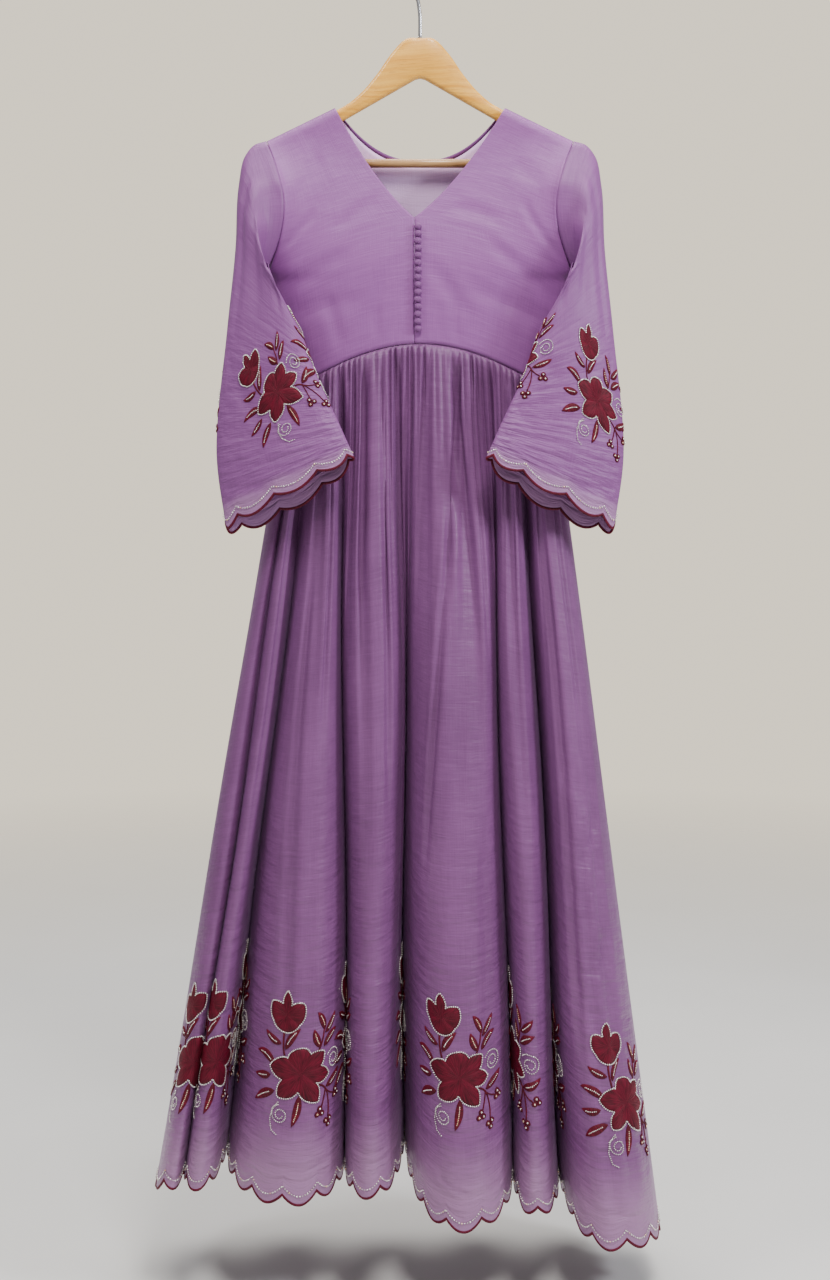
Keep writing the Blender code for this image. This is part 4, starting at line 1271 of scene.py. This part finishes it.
def fold_row(folds, q, level, waist_height, waist_depth, seam_side):
    """Points at one level; q counts ridges and recesses, with fractions between them."""
    table = np.array([row[1:] for row in folds])
    kinds = np.array([row[0] for row in folds])
    span = np.clip(np.floor(q).astype(int), 0, len(folds) - 2)
    t = q - span
    first, second = kinds[span], kinds[span + 1]
    tight = FOLD_TIGHT_WAIST + (FOLD_TIGHT_HEM - FOLD_TIGHT_WAIST) * smooth_step(level / 0.4)
    turn = tight / math.pi * np.sin(math.pi * t)
    deep = (1 - np.cos(math.pi * t)) / 2
    across = np.where(first == "recess", t - turn, t + turn)
    down = np.where(first == "recess", deep**FOLD_SQUARENESS, 1 - (1 - deep) ** FOLD_SQUARENESS)
    opening, closing = first == "side", second == "side"
    sine, cosine = np.sin(math.pi * t / 2), 1 - np.cos(math.pi * t / 2)
    across = np.where(opening, cosine, np.where(closing, sine, across))
    down = np.where(opening, sine, np.where(closing, cosine, down))
    one, other = table[span], table[span + 1]
    waist_x = one[:, 0] + (other[:, 0] - one[:, 0]) * across
    hem_x = one[:, 1] + (other[:, 1] - one[:, 1]) * across
    hem_y = one[:, 2] + (other[:, 2] - one[:, 2]) * down
    hem_z = one[:, 3] + (other[:, 3] - one[:, 3]) * down
    top = waist_height(waist_x)
    grown = level**FOLD_GROWTH
    y = (1 - grown) * seam_side * waist_depth(waist_x, top) + grown * hem_y
    y += seam_side * SEAM_GAP / 2
    z = top + (hem_z - top) * level - WAIST_GAP * (1 - level)
    return np.stack([waist_x + (hem_x - waist_x) * level, y, z], axis=1), waist_x


# %% [markdown]
# ## Gathers and creases of the skirt
# Along the seam some forty small gathers are pinched into each side. Every one has its own
# place, depth and length, and most are gone after a hand's width. They are drawn from a seeded
# generator, so the skirt is the same each time. On top of them come deeper valleys that part
# the pleats down to the middle of the skirt, and long creases on the broad folds. Both are
# listed in tables.

# %% The skirt's surface
SKIRT_LEVELS = np.concatenate(
    [
        np.linspace(0, 0.03, 8),
        np.linspace(0.03, 0.30, 26)[1:],
        np.linspace(0.30, 0.945, 40)[1:],
        np.linspace(0.945, 1, 21)[1:],
    ]
)
FRONT_CREASES_LONG = (
    # fold position and level at the start, the same at the end, width mm, depth mm
    (9.32, 0.02, 8.72, 0.60, 9, 5.0),
    (9.55, 0.00, 9.50, 0.34, 8, 3.5),
    (9.00, 0.10, 9.10, 0.55, 14, 2.2),
    (9.38, 0.55, 9.30, 0.90, 18, 1.8),
    (7.35, 0.05, 7.25, 0.55, 9, 4.0),
    (6.80, 0.02, 6.85, 0.30, 8, 3.0),
    (7.70, 0.10, 7.60, 0.75, 12, 3.0),
    (5.30, 0.05, 5.20, 0.45, 9, 3.5),
    (4.80, 0.25, 4.88, 0.85, 14, 3.5),
    (5.10, 0.50, 5.05, 0.92, 16, 1.8),
    (3.20, 0.10, 3.10, 0.60, 9, 2.5),
    (11.10, 0.05, 11.05, 0.60, 9, 2.5),
    (13.20, 0.05, 13.25, 0.45, 9, 3.0),
    (12.80, 0.20, 12.85, 0.80, 13, 3.5),
    (13.35, 0.40, 13.30, 0.95, 16, 3.0),
    (13.05, 0.55, 13.10, 0.98, 13, 1.8),
    (12.75, 0.44, 13.25, 0.49, 8, 3.0),
    (13.45, 0.50, 12.95, 0.57, 9, 3.4),
    (12.70, 0.58, 13.15, 0.62, 8, 2.6),
    (13.50, 0.64, 13.05, 0.69, 9, 3.0),
    (12.80, 0.70, 13.20, 0.76, 8, 2.4),
    (13.45, 0.80, 13.05, 0.84, 8, 2.0),
    (8.75, 0.93, 9.10, 0.96, 7, 1.5),
    (9.25, 0.90, 8.95, 0.94, 8, 1.6),
    (8.70, 0.66, 9.15, 0.69, 10, 1.4),
    (9.30, 0.76, 8.85, 0.79, 9, 1.3),
    (4.80, 0.90, 5.15, 0.93, 7, 1.5),
    (5.20, 0.70, 4.85, 0.73, 9, 1.4),
    (10.85, 0.88, 11.15, 0.92, 7, 1.4),
    (7.20, 0.88, 6.90, 0.92, 7, 1.4),
)
FRONT_VALLEYS = (
    # waist x, drift, half width and depth in mm, length as a share, spreading
    (41.5, 2, 4.6, 17.0, 0.40, 3.0),
    (7.0, -6, 5.2, 9.0, 0.34, 0.8),
    (-27.5, 0, 4.4, 15.0, 0.46, 0.8),
    (-8.0, -3, 1.4, 6.0, 0.30, 1.0),
    (71.5, 3, 6.2, 6.5, 0.30, 0.8),
    (84.0, 2, 2.6, 13.0, 0.45, 0.8),
    (101.5, 0, 2.4, 10.0, 0.36, 0.8),
    (119.0, 3, 3.4, 11.0, 0.42, 0.8),
    (135.0, 2, 2.6, 8.0, 0.32, 0.8),
    (-65.0, 0, 3.2, 12.0, 0.44, 0.8),
    (-47.0, 3, 1.6, 4.5, 0.36, 1.2),
    (-79.0, -2, 2.6, 9.0, 0.30, 0.8),
    (-95.0, 0, 3.2, 11.0, 0.42, 0.8),
    (-112.0, 4, 2.8, 8.0, 0.34, 0.8),
    (-130.0, 0, 3.0, 8.0, 0.40, 0.8),
)
BACK_VALLEYS = (
    (-135.0, 0, 3.0, 8.0, 0.36, 0.8),
    (-112.0, 2, 3.8, 11.0, 0.46, 0.8),
    (-94.0, -3, 2.4, 7.0, 0.30, 0.8),
    (-70.0, 0, 5.0, 12.0, 0.42, 1.2),
    (-47.0, 3, 2.2, 9.0, 0.34, 0.8),
    (-29.0, 0, 4.4, 12.0, 0.45, 0.8),
    (-3.0, -4, 5.4, 13.0, 0.38, 1.6),
    (20.0, 2, 2.2, 8.0, 0.30, 0.8),
    (38.0, 0, 4.6, 12.0, 0.46, 0.8),
    (62.0, -2, 3.0, 9.0, 0.36, 0.8),
    (84.0, 3, 4.8, 12.0, 0.44, 1.0),
    (108.0, 0, 2.6, 9.0, 0.32, 0.8),
    (131.0, 2, 3.4, 8.0, 0.40, 0.8),
)
BACK_CREASES_LONG = (
    (1.15, 0.04, 1.10, 0.50, 10, 3.0),
    (2.80, 0.02, 2.85, 0.40, 9, 4.0),
    (3.20, 0.15, 3.15, 0.80, 13, 2.6),
    (4.85, 0.05, 4.80, 0.50, 10, 3.5),
    (5.25, 0.30, 5.20, 0.90, 15, 2.0),
    (6.90, 0.02, 6.95, 0.45, 9, 3.6),
    (7.20, 0.10, 7.10, 0.70, 12, 2.8),
    (8.85, 0.05, 8.90, 0.55, 10, 3.0),
    (9.20, 0.30, 9.15, 0.85, 14, 2.4),
    (11.10, 0.05, 11.05, 0.60, 10, 2.8),
)


def gathered(waist_x, levels, seed, valleys):
    """How far in each point is pinched, in metres: many small gathers and a few long valleys."""
    random = np.random.default_rng(seed)
    pinch = np.zeros((len(levels), len(waist_x)))
    centre = -WAIST_X + 0.005
    while centre < WAIST_X - 0.004:
        width, depth = random.uniform(0.0009, 0.0018), random.uniform(0.0035, 0.0080)
        length = random.choice((0.04, 0.07, 0.12, 0.22)) * random.uniform(0.8, 1.2)
        spread = width * (1 + 2.8 * levels[:, None])
        place = centre + random.uniform(-0.010, 0.010) * levels[:, None]
        fading = (np.exp(-((levels / length) ** 2)) * smooth_step(levels / 0.008))[:, None]
        pinch += depth * fading * np.exp(-(((waist_x[None] - place) / spread) ** 2))
        centre += random.uniform(0.0050, 0.0090)
    for middle, drift, width, deep, length, spreading in valleys:
        place = (middle + drift * levels[:, None]) / 1000
        away = (waist_x[None] - place) / (width / 1000 * (1 + spreading * levels[:, None]))
        fading = (np.exp(-((levels / length) ** 3)) * smooth_step(levels / 0.05))[:, None]
        pinch += deep / 1000 * fading * np.exp(-(away**4))
    return pinch


def skirt_cloth_surface(folds, waist_height, waist_depth, seam_side, lobes, creases, seed, valleys):
    """The hanging surface of one side of the skirt, before its hem is scalloped."""
    spans = len(folds) - 1
    dense = np.linspace(0, spans, spans * 80 + 1)
    hem, _ = fold_row(folds, dense, 1.0, waist_height, waist_depth, seam_side)
    run = run_along(hem)
    q = np.interp(np.linspace(0, run[-1], lobes * SCALLOP_COLUMNS + 1), run, dense)
    rows = [fold_row(folds, q, v, waist_height, waist_depth, seam_side) for v in SKIRT_LEVELS]
    grid, waist_x = np.array([row[0] for row in rows]), rows[0][1]
    inside = np.minimum(1.0, np.minimum(q, spans - q) / 0.5)
    puff = 0.0034 * smooth_step(SKIRT_LEVELS / 0.009) * (1 - smooth_step(SKIRT_LEVELS / 0.25))
    pinch = gathered(waist_x, SKIRT_LEVELS, seed, valleys)
    room = 1.3 * np.abs(grid[..., 1]) + 0.0005
    pinch = pinch * room / (pinch + room)
    grid[..., 1] += seam_side * (puff[:, None] - pinch) * inside
    sway = 0.0022 * np.sin(9.0 * SKIRT_LEVELS[:, None] + 1.3 * q[None])
    grid[..., 0] += sway * smooth_step(SKIRT_LEVELS / 0.3)[:, None] * inside
    share = np.arange(len(q)) / (len(q) - 1)
    even = np.linspace(0, 1, len(SKIRT_LEVELS))
    table = []
    for q0, v0, q1, v1, width, deep in creases:
        s0, s1 = np.interp((q0, q1), q, share)
        v0, v1 = np.interp((v0, v1), SKIRT_LEVELS, even)
        table.append((s0, v0, s1, v1, width, deep))
    outward = FORWARD * -seam_side
    grid = pressed(grid, outward, (run[-1], SKIRT_LENGTH), table)
    return Cloth(grid, SKIRT_LEVELS, outward), q, run[-1]


# %% [markdown]
# ## Sewing the skirt
# Front and back are cut, scalloped, edged and embroidered in the same way. The sprays stand
# about 15 cm above the hem, and 9 to 25 cm apart along the cloth, so that the broad folds carry
# one each. Some face us and some disappear into a recess.

# %% Front and back of the skirt
HEM_SCALLOP_DEPTH = 0.0125
FLARE_SHARE = 0.62  # the flared gores' flat area, as a share of hem times length
FRONT_SPRAYS = (
    # fold position, height above the hem
    (1.05, 0.150),
    (3.10, 0.150),
    (4.05, 0.172),
    (5.02, 0.150),
    (6.02, 0.160),
    (7.88, 0.165),
    (9.03, 0.176),
    (10.42, 0.166),
    (12.20, 0.165),
    (13.38, 0.165),
)
BACK_SPRAYS = tuple((place, 0.150) for place in (1.0, 2.2, 3.4, 4.6, 5.8, 7.0, 8.2, 9.4, 10.6))


def back_depth(x, z):
    return BACK_SHARE * bodice_depth(x, z)


SKIRTS = (
    # name, what it hangs from, sprays, scallops, folds, the waist's height and depth, side,
    # creases, seed, valleys
    (
        "skirt_front", ["bodice_front_right_organza", "bodice_front_left_organza"],
        FRONT_SPRAYS, 40, FRONT_FOLDS, waist_z, bodice_depth, -1,
        FRONT_CREASES_LONG, 21, FRONT_VALLEYS,
    ),
    (
        "skirt_back", ["bodice_back_organza"],
        BACK_SPRAYS, 30, BACK_FOLDS, back_waist_z, back_depth, 1,
        BACK_CREASES_LONG, 34, BACK_VALLEYS,
    ),
)
for name, above, sprays, lobes, folds, height, depth, side, creases, seed, valleys in SKIRTS:
    shape = folds, height, depth, side, lobes, creases, seed, valleys
    smooth, q, hem_length = skirt_cloth_surface(*shape)
    cut = scalloped(smooth, HEM_SCALLOP_DEPTH, reach=0.045)
    columns = len(q)
    uv = metric_uv(hem_length, SKIRT_LENGTH, SKIRT_LEVELS, columns)
    piece = wall(name + "_organza", cut, CLOTH, uv, skirt_cloth_painted_shade)
    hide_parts(name)
    cord = edge_cord(name + "_hem_cord", smooth, HEM_SCALLOP_DEPTH, lobes * 28 + 1)
    line = edge_beads(smooth, HEM_SCALLOP_DEPTH, above=0.0100, pitch=0.0033)
    places = [(np.interp(place, q, np.arange(columns)), up, 1.0, 1, 0) for place, up in sprays]
    trims = lay_sprays(name, smooth, places, line)
    flat_area = FLARE_SHARE * hem_length * SKIRT_LENGTH
    print(name, f"hem {hem_length:.2f} m, scallop {hem_length / lobes:.3f} m, {cut.area:.3f} m2")

# %% [markdown]
# ## Floor, light and camera
# The gown hangs over a plain pale floor that fades into the room, under the broad soft light
# of a shop window. A large lamp stands above and to the right, a weaker one fills from the
# left, and the room itself gives the rest. The camera stands level, as high as the middle of
# the skirt, and is shifted so that the hanger's hook and the hem are both in view.

# %% The floor
bpy.ops.mesh.primitive_circle_add(
    vertices=96, radius=3.4, fill_type="TRIFAN", location=(0, 0.4, -1.60)
)
floor = bpy.context.object
floor.name = "floor"
ground = Finish("pale_floor")
spot = ground.add("TexCoord", output="Object")
mottle = ground.noise(spot, (3.0, 3.0, 3.0), 4.0)
ground.feed("Base Color", ground.blend(mottle, colour(0.76, 0.75, 0.72), colour(0.82, 0.81, 0.78)))
ground.feed("Roughness", 0.5 + mottle * 0.2)
away = ground.add("VectorMath", {"operation": "LENGTH"}, {0: spot}, "Value")
clear = ground.add("BsdfTransparent")
solid = Shade(ground.tree, ground.shader.outputs[0])
surface = ground.add("MixShader", None, {0: away.within(1.2, 3.3), 1: solid, 2: clear})
join(ground.tree, ground.tree.nodes["Material Output"].inputs["Surface"], surface)
floor.data.materials.append(ground.material)
floor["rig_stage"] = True

# %% The light
world = bpy.data.worlds.new("pale_room")
world.use_nodes = True
room = world.node_tree.nodes["Background"]
room.inputs["Color"].default_value = colour(0.90, 0.88, 0.90)
room.inputs["Strength"].default_value = 0.34
seen = world.node_tree.nodes.new("ShaderNodeBackground")
seen.inputs["Color"].default_value = colour(1.25, 1.12, 0.90)
rays = world.node_tree.nodes.new("ShaderNodeLightPath")
either = world.node_tree.nodes.new("ShaderNodeMixShader")
for source, target in (
    (rays.outputs["Is Camera Ray"], either.inputs[0]),
    (room.outputs[0], either.inputs[1]),
    (seen.outputs[0], either.inputs[2]),
    (either.outputs[0], world.node_tree.nodes["World Output"].inputs["Surface"]),
):
    world.node_tree.links.new(source, target)
bpy.context.scene.world = world


def soft_lamp(name, place, target, size, power, tint):
    lamp = bpy.data.lights.new(name, "AREA")
    lamp.shape = "DISK"
    lamp.size, lamp.energy, lamp.color = size, power, tint
    holder = bpy.data.objects.new(name, lamp)
    holder.location = place
    aim = np.array(target, float) - np.array(place, float)
    yaw = math.atan2(aim[0], -aim[1])
    pitch = math.atan2(math.hypot(aim[0], aim[1]), -aim[2])
    holder.rotation_euler = (pitch, 0.0, yaw + math.pi)
    bpy.context.scene.collection.objects.link(holder)


soft_lamp("ceiling_front", (0.45, -1.7, 1.6), (0.0, 0.0, -0.7), 0.8, 64, (1.0, 0.98, 0.96))
soft_lamp("ceiling_left", (-1.5, -1.1, 1.3), (0.0, 0.0, -0.6), 0.8, 24, (0.97, 0.97, 1.0))
soft_lamp("window_right", (1.8, -1.0, 0.2), (0.15, 0.0, -1.0), 0.5, 30, (0.90, 0.92, 1.0))
soft_lamp("ceiling_over", (0.0, 0.6, 2.2), (0.0, 0.3, -1.6), 3.0, 120, (1.0, 0.98, 0.95))

# %% The camera
CAMERA_PLACE, CAMERA_LENS, CAMERA_SHIFT = (-0.0061, -2.55, -0.588), 58.8, -0.152
camera = bpy.data.objects.new("camera", bpy.data.cameras.new("camera"))
camera.location = CAMERA_PLACE
camera.rotation_euler = (math.pi / 2, 0.0, 0.0)
camera.data.lens, camera.data.sensor_width, camera.data.shift_y = CAMERA_LENS, 36.0, CAMERA_SHIFT
bpy.context.scene.collection.objects.link(camera)
bpy.context.scene.camera = camera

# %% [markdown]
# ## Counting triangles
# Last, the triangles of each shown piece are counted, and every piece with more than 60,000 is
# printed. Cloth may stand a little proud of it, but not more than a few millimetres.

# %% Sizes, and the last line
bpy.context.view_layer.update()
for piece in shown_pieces():
    piece.data.calc_loop_triangles()
    if len(piece.data.loop_triangles) > 60000:
        print(piece.name, len(piece.data.loop_triangles))
